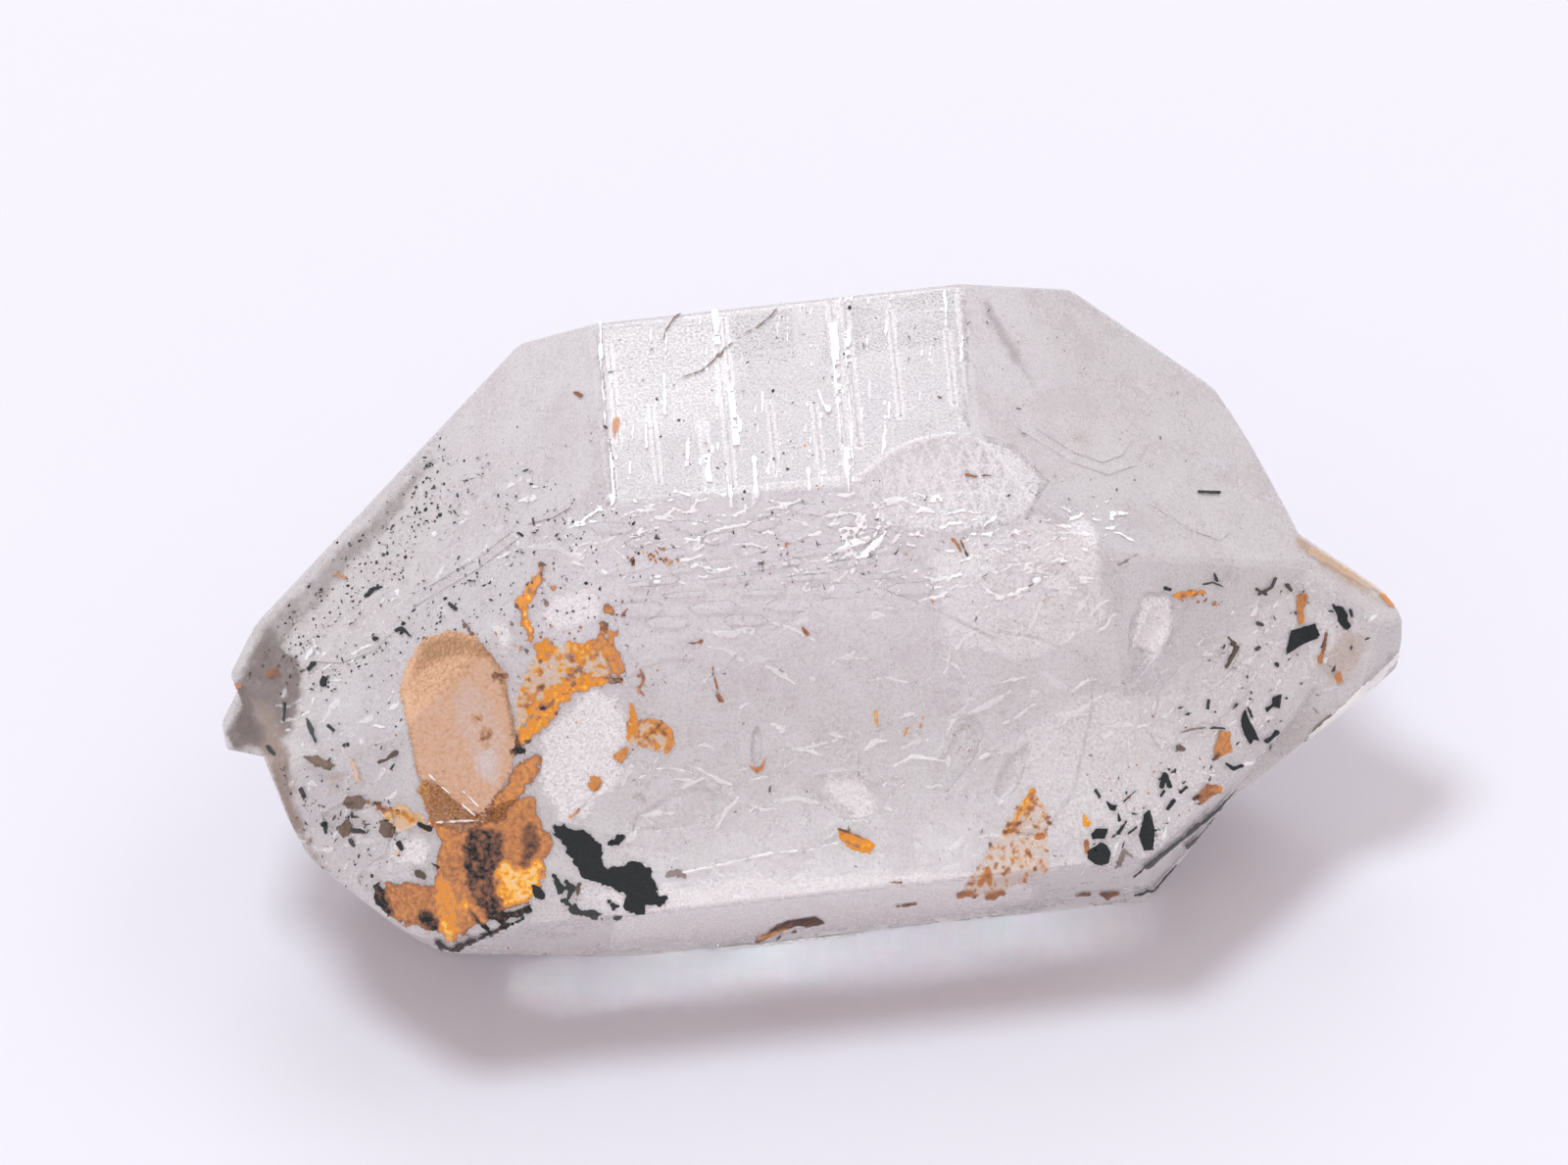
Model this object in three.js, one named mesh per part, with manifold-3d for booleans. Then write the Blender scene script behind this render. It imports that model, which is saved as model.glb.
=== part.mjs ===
// A skeletal quartz crystal with two ends, lying on one of its prism faces. Millimetres.
// X runs along the crystal's c axis, Z is up, and the origin is the middle of the underside.
import * as THREE from 'three';
import Module from 'manifold-3d';
import { ConvexGeometry } from 'three/addons/geometries/ConvexGeometry.js';
import { mergeVertices } from 'three/addons/utils/BufferGeometryUtils.js';

const wasm = await Module();
wasm.setup();

// Quartz has six prism faces around its c axis, and six faces at each end, tilted 38.2 degrees to the axis.
const SECTOR = Math.PI / 3;
const END_FACE_TILT = THREE.MathUtils.degToRad(38.2);
const [NONE, LEFT, RIGHT] = [0, -1, 1];

// The growth frame has its origin in the middle of the front contact edge, where faces 2 and 3 meet.
// Sector 0 is on top, 1 is the upper front, 2 the lower front, 3 the underside, 4 and 5 are the back.
// Each number is the distance of that sector's face from the growth frame's origin.
const PRISM = [24.7, 8.7, 0, 0, 12.56, 24.77];
const LEFT_END = [23.53, 17.2, 10.32, 9.7, 15.87, 25.56];
const RIGHT_END = [24.98, 15.6, 8.71, 8.9, 14.8, 27.87];

// Two smaller crystals are fused to the stem, and a sector with null has no face of its own there.
const KNOB_PRISM = [null, 7, null, null, null, 20];
const KNOB_END = [23.45, null, null, null, 15, 25.48];
const TIP_PRISM = [20, 2.5, -1, 0, 11, 20];
const TIP_END = [24.85, 18.4, 9.7, 9.2, 15.2, 24.3];

// Broken and dissolved corners: the way that each plane faces, and its distance from the origin.
const STEM_CHIPS = [
  { facing: [0.905, 0.326, 0.274], distance: 26.52 },
  { facing: [0.94, 0.262, 0.22], distance: 25.82 },
  { facing: [0.711, -0.539, -0.452], distance: 9.99 },
  { facing: [-0.963, -0.206, -0.173], distance: 18.97 },
  { facing: [-0.897, -0.339, -0.285], distance: 16.36 },
  { facing: [-0.696, -0.55, -0.462], distance: 10.63 },
  { facing: [-0.541, -0.644, -0.541], distance: 7.68 },
  { facing: [-0.13, -0.76, -0.637], distance: 1.05 },
];
const KNOB_CHIPS = [
  { facing: [-0.845, 0.41, 0.344], distance: 27.45 },
  { facing: [-0.998, -0.044, -0.037], distance: 23.4 },
  { facing: [-0.3, -0.73, -0.613], distance: -2.9 },
  { facing: [1, 0, 0], distance: -17 },
];
const TIP_CHIPS = [
  { facing: [0.525, -0.652, -0.547], distance: 6.14 },
  { facing: [1, -0.01, -0.009], distance: 25.92 },
  { facing: [0.957, 0.221, 0.186], distance: 28.15 },
  { facing: [0.72, -0.69, 0.06], distance: 16.25 },
  { facing: [-1, 0, 0], distance: 0 },
];
const WORN_EDGE = 0.07;

function plane(sector, side, distance) {
  const radial = side === NONE ? 1 : Math.cos(END_FACE_TILT);
  const normal = new THREE.Vector3(
    side * Math.sin(END_FACE_TILT),
    -radial * Math.sin(sector * SECTOR),
    radial * Math.cos(sector * SECTOR),
  );
  return { normal, distance };
}

function habit(distances, side) {
  const faces = distances.map((distance, sector) => plane(sector, side, distance));
  return faces.filter(({ distance }) => distance !== null);
}

function chips(list) {
  return list.map(({ facing, distance }) => {
    const normal = new THREE.Vector3(...facing).normalize();
    return { normal, distance };
  });
}

// The corners of the convex body behind every plane, each with the planes that meet there.
const PARALLEL = 1e-4;
const SLACK = 1e-4;
const SAME_POINT = 1e-3;
function corners(bounds) {
  const found = [];
  const matrix = new THREE.Matrix3();
  bounds.forEach((a, i) => bounds.slice(i + 1).forEach((b, j) => bounds.slice(i + j + 2).forEach((c) => {
    matrix.set(...a.normal.toArray(), ...b.normal.toArray(), ...c.normal.toArray());
    if (Math.abs(matrix.determinant()) < PARALLEL) return;
    const point = new THREE.Vector3(a.distance, b.distance, c.distance).applyMatrix3(matrix.invert());
    if (bounds.some((face) => face.normal.dot(point) > face.distance + SLACK)) return;
    const known = found.find((corner) => corner.point.distanceTo(point) < SAME_POINT);
    if (known) [a, b, c].forEach((face) => known.faces.add(face));
    else found.push({ point, faces: new Set([a, b, c]) });
  })));
  return found;
}

// A narrow plane along every edge, which takes the sharpness off it.
function wornEdges(bounds) {
  const found = corners(bounds);
  return bounds.flatMap((a, i) => bounds.slice(i + 1).flatMap((b) => {
    const shared = found.filter(({ faces }) => faces.has(a) && faces.has(b));
    if (shared.length < 2) return [];
    const normal = a.normal.clone().add(b.normal).normalize();
    return [{ normal, distance: normal.dot(shared[0].point) - WORN_EDGE }];
  }));
}

const SAME_VERTEX = 1e-4;
function solidOf(geometry) {
  const bare = geometry.clone();
  bare.deleteAttribute('normal');
  bare.deleteAttribute('uv');
  const merged = mergeVertices(bare, SAME_VERTEX);
  return new wasm.Manifold(new wasm.Mesh({
    numProp: 3,
    vertProperties: new Float32Array(merged.attributes.position.array),
    triVerts: new Uint32Array(merged.index.array),
  }));
}

function convexSolid(points) {
  return solidOf(new ConvexGeometry(points));
}

function geometryOf(solid) {
  const { vertProperties, triVerts } = solid.getMesh();
  const geometry = new THREE.BufferGeometry();
  geometry.setAttribute('position', new THREE.BufferAttribute(new Float32Array(vertProperties), 3));
  geometry.setIndex(new THREE.BufferAttribute(new Uint32Array(triVerts), 1));
  return geometry;
}

// A crystal is the body behind its faces and chips, with its edges worn.
function grown(...groups) {
  const bounds = groups.flat();
  return convexSolid(corners([...bounds, ...wornEdges(bounds)]).map(({ point }) => point));
}

// The faces that carry relief.
const FACES = {
  top: plane(0, NONE, PRISM[0]),
  front: plane(1, NONE, PRISM[1]),
  lowerBack: plane(4, NONE, PRISM[4]),
  upperBack: plane(5, NONE, PRISM[5]),
  topLeft: plane(0, LEFT, LEFT_END[0]),
  frontLeft: plane(1, LEFT, LEFT_END[1]),
  lowerBackLeft: plane(4, LEFT, LEFT_END[4]),
  backLeft: plane(5, LEFT, LEFT_END[5]),
  topRight: plane(0, RIGHT, RIGHT_END[0]),
  frontRight: plane(1, RIGHT, RIGHT_END[1]),
  lowerBackRight: plane(4, RIGHT, RIGHT_END[4]),
  backRight: plane(5, RIGHT, RIGHT_END[5]),
};

// The point of a face at the given x and z, or on a top face, which is too flat for that, at x and y.
function pointOn(face, [x, other]) {
  const { normal, distance } = FACES[face];
  const rest = distance - normal.x * x;
  if (face.startsWith('top')) return new THREE.Vector3(x, other, (rest - normal.y * other) / normal.z);
  return new THREE.Vector3(x, (rest - normal.z * other) / normal.y, other);
}

// Axes on a face: u along c, towards the face's own end, v across it, and w outwards.
function frameOn(face, at, turn) {
  const w = FACES[face].normal;
  const side = Math.sign(w.x) || 1;
  const u = new THREE.Vector3(side, 0, 0).addScaledVector(w, -side * w.x).normalize();
  const frame = new THREE.Matrix4().makeBasis(u, new THREE.Vector3().crossVectors(w, u), w);
  frame.multiply(new THREE.Matrix4().makeRotationZ(THREE.MathUtils.degToRad(turn)));
  return frame.setPosition(pointOn(face, at));
}

// Fixed, irregular numbers between 0 and 1: the fractional parts of multiples of the golden ratio.
function scatter(index, salt) {
  const value = (index + 1) * 0.618034 + salt * 0.3719;
  return value - Math.floor(value);
}

// An uneven outline, the rim of a hopper or the edge of a growth layer. Longer ones have more corners.
const FEWEST_CORNERS = 6;
const LENGTH_PER_CORNER = 2.2;
const CORNER_SHIFT = 0.6;
const RIM_UNEVENNESS = 0.24;
function outline(length, width) {
  const count = FEWEST_CORNERS + Math.floor(length / LENGTH_PER_CORNER);
  const salt = length + width;
  return Array.from({ length: count }, (_, k) => {
    const angle = ((k + CORNER_SHIFT * (scatter(k, salt) - 0.5)) / count) * 2 * Math.PI;
    const reach = 1 + RIM_UNEVENNESS * (scatter(k, salt + 1) - 0.5);
    return [(length / 2) * reach * Math.cos(angle), (width / 2) * reach * Math.sin(angle)];
  });
}

// How far a layer or a cut reaches past the face that it works on, and how much each step draws in.
const ROOT = 0.4;
const STEP_SHRINK = 0.24;
const WALL_SLOPE = 0.2;

function layer(frame, rim, scale, low, high) {
  const halfWidth = Math.max(...rim.map(([, v]) => v)) * scale;
  const drawnIn = scale * (1 - (WALL_SLOPE * Math.abs(high)) / halfWidth);
  const points = rim.flatMap(([u, v]) => [
    new THREE.Vector3(u * scale, v * scale, low),
    new THREE.Vector3(u * drawnIn, v * drawnIn, high),
  ]);
  return convexSolid(points.map((point) => point.applyMatrix4(frame)));
}

// A stack of ever smaller growth layers standing on a face.
function hillock({ face, at, length, width, turn = 0, steps = 1, step = 0.12, root = ROOT }) {
  const frame = frameOn(face, at, turn);
  const rim = outline(length, width);
  const grow = (_, k) => layer(frame, rim, 1 - k * STEP_SHRINK, -root, (k + 1) * step);
  return Array.from({ length: steps }, grow);
}

// A stepped hollow that gets smaller with depth, the mark of skeletal growth.
function hopper({ face, at, length, width, turn = 0, steps = 2, step = 0.15 }) {
  const frame = frameOn(face, at, turn);
  const rim = outline(length, width);
  const cut = (_, k) => layer(frame, rim, 1 - k * STEP_SHRINK, ROOT, -(k + 1) * step);
  return Array.from({ length: steps }, cut);
}

// A fine rib across a prism face, at right angles to c, from one y or z of that face to another.
function striation({ face, x, from, to, width = 0.2, height = 0.06 }) {
  const half = width / 2;
  const section = [[0, height], [-half, 0], [half, 0], [-half, -ROOT], [half, -ROOT]];
  return convexSolid([from, to].flatMap((end) => section.map(([aside, up]) => {
    const point = pointOn(face, [x + aside, end]);
    return point.addScaledVector(FACES[face].normal, up);
  })));
}

// A shell-shaped chip, as quartz breaks.
function scoop({ centre, radii, turn = [0, 0, 0], detail = 4 }) {
  const ball = new THREE.IcosahedronGeometry(1, detail);
  ball.scale(...radii);
  ball.applyMatrix4(new THREE.Matrix4().makeRotationFromEuler(new THREE.Euler(...turn)));
  ball.translate(...centre);
  return solidOf(ball);
}

// Broad, thin growth layers that lie over each other.
const TERRACES = [
  { face: 'front', at: [-1.5, 13.6], length: 15, width: 7.2, turn: 6, step: 0.05 },
  { face: 'front', at: [3.6, 16.4], length: 13.4, width: 8.4, turn: -10, step: 0.07 },
  { face: 'front', at: [9.4, 14.2], length: 9.6, width: 6.8, turn: 70, step: 0.06 },
  { face: 'frontRight', at: [17, 12.9], length: 6.2, width: 3.4, turn: 14, step: 0.06 },
  { face: 'frontLeft', at: [-18.4, 12], length: 3.8, width: 2.3, turn: 40, step: 0.08 },
  { face: 'topLeft', at: [-12.4, 7.6], length: 9.4, width: 4.4, turn: 10, steps: 2, step: 0.06 },
  { face: 'topLeft', at: [-17.2, 6.4], length: 7, width: 3, turn: 4, step: 0.08 },
  { face: 'topLeft', at: [-9.4, 6.2], length: 3.4, width: 1.4, turn: -14, step: 0.09 },
  { face: 'topRight', at: [13.4, 8.6], length: 7.4, width: 4.6, turn: 16, steps: 2, step: 0.06 },
  { face: 'topRight', at: [17.4, 6.2], length: 4.6, width: 2.4, turn: -8, step: 0.08 },
  { face: 'backLeft', at: [-14.4, 15.5], length: 5.4, width: 2.4, turn: -4, steps: 2, step: 0.1 },
  { face: 'lowerBack', at: [0.8, 8.8], length: 4.6, width: 1.8, turn: 8, steps: 2 },
  { face: 'upperBack', at: [2, 15], length: 6, width: 1.7, step: 0.14 },
];

// The windows, bars and pits that skeletal growth left in the faces.
const HOPPERS = [
  { face: 'front', at: [12, 19.4], length: 4, width: 2.2, turn: 118, steps: 2, step: 0.1 },
  { face: 'front', at: [6.8, 13.7], length: 4.1, width: 1.6, turn: 62, step: 0.1 },
  { face: 'front', at: [8.9, 12.6], length: 3.2, width: 1, turn: 60, steps: 1, step: 0.12 },
  { face: 'front', at: [1.8, 12.5], length: 3.9, width: 2.2, turn: -28, step: 0.08 },
  { face: 'front', at: [-1.7, 14.8], length: 1.9, width: 0.7, turn: 80, steps: 1, step: 0.12 },
  { face: 'front', at: [-5.6, 18], length: 3.4, width: 1, turn: 18, steps: 1, step: 0.08 },
  { face: 'front', at: [-5.4, 12.6], length: 4.2, width: 1.8, turn: 12, steps: 1, step: 0.08 },
  { face: 'frontRight', at: [15.3, 16.4], length: 3.9, width: 1.7, turn: 52, step: 0.1 },
  { face: 'frontRight', at: [17.8, 13.4], length: 3.6, width: 1.7, turn: 20, steps: 1, step: 0.08 },
  { face: 'frontLeft', at: [-19.6, 12], length: 2.4, width: 1.1, turn: 30, steps: 1, step: 0.12 },
  { face: 'frontLeft', at: [-18.4, 9.9], length: 2.2, width: 1, turn: -20, steps: 1, step: 0.12 },
  { face: 'upperBack', at: [-3.4, 17.6], length: 7.4, width: 3, turn: 6, steps: 3, step: 0.14 },
  { face: 'upperBack', at: [6.4, 19.4], length: 5.2, width: 2.2, turn: -8, step: 0.16 },
  { face: 'lowerBack', at: [-6, 6.4], length: 6.2, width: 3.4, turn: 14, steps: 3 },
  { face: 'lowerBack', at: [7.2, 5.4], length: 6.8, width: 2.6, turn: -6 },
  { face: 'backRight', at: [13.6, 18.8], length: 3.6, width: 1.9, turn: 12, step: 0.12 },
  { face: 'lowerBackRight', at: [15.2, 9], length: 4.4, width: 2.6, turn: -16 },
  { face: 'lowerBackLeft', at: [-16.8, 8.6], length: 5.2, width: 2.8, turn: 12 },
];

// Small, narrow growth layers crowd the zone just under the top edge of the front face.
// Each pair holds a smallest and a largest value.
const SHINGLES = {
  count: 34, x: [-7, 6.6], z: [19.6, 23.9], length: [1.2, 3], width: [0.3, 0.8], turn: [-12, 12],
  step: [0.06, 0.14], root: 1.2,
};

const { lerp } = THREE.MathUtils;
function shingles({ count, x, z, length, width, turn, step, root }) {
  return Array.from({ length: count }, (_, k) => hillock({
    face: 'front',
    at: [lerp(...x, (k + 0.5) / count), lerp(...z, scatter(k, 1))],
    length: lerp(...length, scatter(k, 2)),
    width: lerp(...width, scatter(k, 3)),
    turn: lerp(...turn, scatter(k, 4)),
    step: lerp(...step, scatter(k, 5)),
    root,
  })).flat();
}

const TOP_STRIATIONS = [
  { x: -6.75, from: 4.4, to: 13.9, width: 0.34, height: 0.08 },
  { x: -6.1, from: 7.5, to: 13 },
  { x: -4.6, from: 5.2, to: 9.4 },
  { x: -2.5, from: 4.6, to: 8.2, width: 0.3 },
  { x: -1.5, from: 4.5, to: 12.8, width: 0.24 },
  { x: -1.15, from: 6.4, to: 13.8 },
  { x: 0.4, from: 5, to: 9 },
  { x: 2.3, from: 4.6, to: 8.6 },
  { x: 3.45, from: 4.4, to: 14.1, width: 0.34, height: 0.08 },
  { x: 4, from: 6, to: 13.9, width: 0.28, height: 0.08 },
  { x: 5.9, from: 7.4, to: 13.2 },
  { x: 8.2, from: 7.8, to: 11.8 },
];
const BACK_STRIATIONS = { count: 12, x: [-9.2, 7.2], upper: [14, 24], lower: [1, 12], unevenness: 3 };

function backStriations({ count, x, upper, lower, unevenness }) {
  return Array.from({ length: count }, (_, k) => {
    const place = lerp(...x, (k + scatter(k, 6)) / count);
    const rib = (face, [from, to], salt) => striation({
      face,
      x: place,
      from: from + unevenness * scatter(k, salt),
      to: to - unevenness * scatter(k, salt + 1),
      height: 0.05,
    });
    return [rib('upperBack', upper, 7), rib('lowerBack', lower, 9)];
  }).flat();
}

// The first scoop is the pale, arched lobe at the right of the front face's top edge.
const SCOOPS = [
  { centre: [7.6, -5.66, 32.3], radii: [8.2, 14, 14], detail: 12 },
  { centre: [-24.6, 5.2, 9.2], radii: [1.4, 2.2, 1.3], turn: [0.3, 0.2, 0.4] },
  { centre: [-23.9, 11.4, 14.8], radii: [1.3, 2, 1.1], turn: [0.5, 0.4, 0] },
  { centre: [-20.4, -1.9, 5.2], radii: [1.8, 1.3, 1.4], turn: [0.2, 0.6, 0.5] },
  { centre: [-18.6, -3.9, 6.9], radii: [1.3, 0.9, 1.1], turn: [0, 0.4, 0.2] },
  { centre: [22, 9.7, 17.6], radii: [1.5, 1.3, 2], turn: [0.4, 0.2, 0.1] },
  { centre: [27.1, 5.3, 11], radii: [1.2, 1, 1.3], turn: [0.2, 0, 0.3] },
  { centre: [12.8, 17.2, 4.2], radii: [2.6, 1.5, 1.8], turn: [0.3, 0.2, -0.2] },
];

const stem = grown(habit(PRISM, NONE), habit(LEFT_END, LEFT), habit(RIGHT_END, RIGHT), chips(STEM_CHIPS));
const knob = grown(habit(KNOB_PRISM, NONE), habit(KNOB_END, LEFT), chips(KNOB_CHIPS));
const tip = grown(habit(TIP_PRISM, NONE), habit(TIP_END, RIGHT), chips(TIP_CHIPS));

const raised = [
  ...TERRACES.flatMap(hillock),
  ...shingles(SHINGLES),
  ...TOP_STRIATIONS.map((rib) => striation({ face: 'top', ...rib })),
  ...backStriations(BACK_STRIATIONS),
];
const hollowed = [...HOPPERS.flatMap(hopper), ...SCOOPS.map(scoop)];

const fused = [knob, tip, ...raised].reduce((whole, piece) => whole.add(piece), stem);
const crystal = new THREE.Mesh(
  geometryOf(hollowed.reduce((whole, hollow) => whole.subtract(hollow), fused)),
  new THREE.MeshStandardMaterial({ color: 0xe6e1e4, roughness: 0.08, metalness: 0 }),
);
crystal.name = 'quartz_crystal';

const box = new THREE.Box3().setFromObject(crystal);
crystal.position.set(-(box.min.x + box.max.x) / 2, -(box.min.y + box.max.y) / 2, -box.min.z);

const group = new THREE.Group();
group.add(crystal);

export default group;
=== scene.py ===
"""A skeletal quartz point with iron oxide and dark inclusions, on a plain pale floor under soft light."""

import logging
import math
from collections.abc import Iterable
from dataclasses import dataclass
from enum import Enum

import bpy
import numpy as np
from mathutils import Matrix, Vector


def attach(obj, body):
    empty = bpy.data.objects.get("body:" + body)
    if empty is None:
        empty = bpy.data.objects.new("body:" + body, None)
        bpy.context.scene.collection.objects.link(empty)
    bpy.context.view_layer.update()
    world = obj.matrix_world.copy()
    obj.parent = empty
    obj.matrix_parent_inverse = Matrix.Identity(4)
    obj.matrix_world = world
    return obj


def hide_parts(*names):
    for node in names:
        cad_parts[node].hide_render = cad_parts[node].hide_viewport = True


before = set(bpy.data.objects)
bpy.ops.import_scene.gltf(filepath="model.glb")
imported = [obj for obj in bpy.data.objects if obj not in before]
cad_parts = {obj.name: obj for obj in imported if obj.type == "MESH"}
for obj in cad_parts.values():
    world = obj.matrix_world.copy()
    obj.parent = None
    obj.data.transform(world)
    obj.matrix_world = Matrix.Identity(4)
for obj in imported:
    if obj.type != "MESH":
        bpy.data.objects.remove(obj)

LOG = logging.getLogger("quartz")
NODE = "quartz_crystal"

# Metres in a millimetre.
METRES = 0.001

# From the growth frame, whose origin is the middle of the front contact edge, to the part's, in millimetres.
GROWTH_ORIGIN = np.array([-0.9727, -8.2648, 0.0])

# Decimals of a metre at which two corners of the solid are one, and the angle of a sharp edge, in degrees.
CORNER_DECIMALS = 7
SHARP_EDGE = 12.0

Array = np.ndarray
Socket = bpy.types.NodeSocket
Colour = tuple[float, float, float]
Pixels = tuple[tuple[float, float], ...]


class Slot(Enum):
    """The record's material slots."""

    QUARTZ = "quartz"
    IRON = "iron_oxide"
    DARK = "dark_oxide"
    # White veils, and the painted glints and highlights that share this slot.
    VEIL_AND_HIGHLIGHTS = "white_veil"


# The photograph's view


@dataclass(frozen=True)
class PhotoView:
    """How the photograph looks at the crystal: parallel rays, seen from above the front.

    Attributes:
        width: Width of the photograph, in its pixels.
        height: Height of the photograph, in its pixels.
        pixels_per_mm: Scale of the photograph.
        elevation: Height of the camera above the horizon, in degrees.
        roll: How far the crystal's long axis rises to the right, in degrees.
        anchor: Pixel that the scale and the roll are measured from.
        anchor_rise: How far up the picture that pixel is from the front contact edge, in millimetres.
    """

    width: int = 1600
    height: int = 1189
    pixels_per_mm: float = 24.08
    elevation: float = 50.0
    roll: float = 6.2
    anchor: tuple[float, float] = (800.0, 640.0)
    anchor_rise: float = 13.2

    # The nearest and the furthest distance that the camera sees, in metres.
    CLIP = (0.01, 10.0)

    @property
    def forward(self) -> Array:
        """The way that the camera looks."""
        angle = math.radians(self.elevation)
        return np.array([0.0, math.cos(angle), -math.sin(angle)])

    @property
    def rise(self) -> Array:
        """Straight up the picture before it is rolled."""
        angle = math.radians(self.elevation)
        return np.array([0.0, math.sin(angle), math.cos(angle)])

    def on_view_plane(self, pixels: Array) -> Array:
        """Points of the growth frame behind pixels, on the plane through its origin that faces the camera.

        A pixel's offset from the anchor, over the scale, is turned back by the roll into a length along the
        crystal's axis and a length up the picture.

        Args:
            pixels: Pixel coordinates, shape (n, 2).

        Returns:
            Points in millimetres, shape (n, 3).
        """
        roll = math.radians(self.roll)
        offset = (pixels - np.array(self.anchor)) / self.pixels_per_mm
        along = offset @ np.array([math.cos(roll), -math.sin(roll)])
        up = offset @ np.array([-math.sin(roll), -math.cos(roll)]) + self.anchor_rise
        return along[:, None] * np.array([1.0, 0.0, 0.0]) + up[:, None] * self.rise

    def make_camera(self, distance: float = 400.0) -> bpy.types.Object:
        """Makes the scene's camera.

        Args:
            distance: Distance from the crystal, in millimetres.

        Returns:
            The camera's object.
        """
        data = bpy.data.cameras.new("camera")
        data.type = "ORTHO"
        data.ortho_scale = self.width / self.pixels_per_mm * METRES
        data.clip_start, data.clip_end = self.CLIP
        camera = bpy.data.objects.new("camera", data)
        bpy.context.scene.collection.objects.link(camera)
        roll = math.radians(self.roll)
        axis = np.array([1.0, 0.0, 0.0])
        right = math.cos(roll) * axis - math.sin(roll) * self.rise
        up = math.sin(roll) * axis + math.cos(roll) * self.rise
        centre = self.on_view_plane(np.array([[self.width / 2, self.height / 2]]))[0]
        place = (centre + GROWTH_ORIGIN - self.forward * distance) * METRES
        turn = Matrix([right, up, -self.forward]).transposed()
        camera.matrix_world = Matrix.Translation(Vector(place)) @ turn.to_4x4()
        bpy.context.scene.camera = camera
        return camera


VIEW = PhotoView()


# Noise and meshes


@dataclass(frozen=True)
class Noise:
    """Smooth random heights, the same at each run.

    Attributes:
        size: Size of the coarsest bumps, in the unit of the points.
        seed: Start of the random draw.
        octaves: How many finer copies are added, each of half the size and weight.
    """

    size: float
    seed: int = 1
    octaves: int = 3

    # Cells of the lattice before it repeats, and how far each finer copy is shifted over it, in cells.
    LATTICE = 64
    SHIFT = (7.3, 3.1)

    def __call__(self, x: Array, y: Array) -> Array:
        """Heights between about -1 and 1.

        Random numbers on a square lattice are blended with the curve 3t² - 2t³ in each cell, and copies at
        half the size and half the weight are added.

        Args:
            x: First coordinates, of any shape.
            y: Second coordinates, of the same shape.

        Returns:
            Heights, of the same shape.
        """
        lattice = self.LATTICE
        numbers = np.random.default_rng(self.seed).uniform(-1.0, 1.0, (lattice, lattice))
        total, weight, size = np.zeros(np.shape(x)), 0.0, self.size
        for octave in range(self.octaves):
            u, v = x / size + self.SHIFT[0] * octave, y / size + self.SHIFT[1] * octave
            i, j = np.floor(u).astype(int), np.floor(v).astype(int)
            s, t = u - i, v - j
            s, t = s * s * (3 - 2 * s), t * t * (3 - 2 * t)
            corner = [[numbers[(i + a) % lattice, (j + b) % lattice] for b in (0, 1)] for a in (0, 1)]
            low = corner[0][0] * (1 - s) + corner[1][0] * s
            high = corner[0][1] * (1 - s) + corner[1][1] * s
            share = 0.5**octave
            total, weight, size = total + share * (low * (1 - t) + high * t), weight + share, size / 2
        return total / weight


def make_piece(
    name: str,
    points: Array,
    faces: Array,
    material: bpy.types.Material,
    attributes: dict[str, Array] | None = None,
    smooth: bool = True,
) -> bpy.types.Object:
    """Makes a piece that rides on the crystal.

    Args:
        name: The piece's name.
        points: Points of the growth frame, in millimetres, shape (n, 3).
        faces: Corner numbers of each face, shape (m, 3) or (m, 4).
        material: Its material.
        attributes: Numbers for each point, by attribute name.
        smooth: Whether its faces are shaded smooth.

    Returns:
        The piece's object.
    """
    mesh = bpy.data.meshes.new(name)
    mesh.from_pydata(((points + GROWTH_ORIGIN) * METRES).tolist(), [], faces.tolist())
    for label, values in (attributes or {}).items():
        layer = mesh.attributes.new(label, "FLOAT", "POINT")
        layer.data.foreach_set("value", np.ascontiguousarray(values, np.float32))
    mesh.polygons.foreach_set("use_smooth", np.full(len(faces), smooth))
    mesh.materials.append(material)
    mesh.validate()
    piece = bpy.data.objects.new(name, mesh)
    bpy.context.scene.collection.objects.link(piece)
    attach(piece, "root")
    return piece


# The crystal


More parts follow.
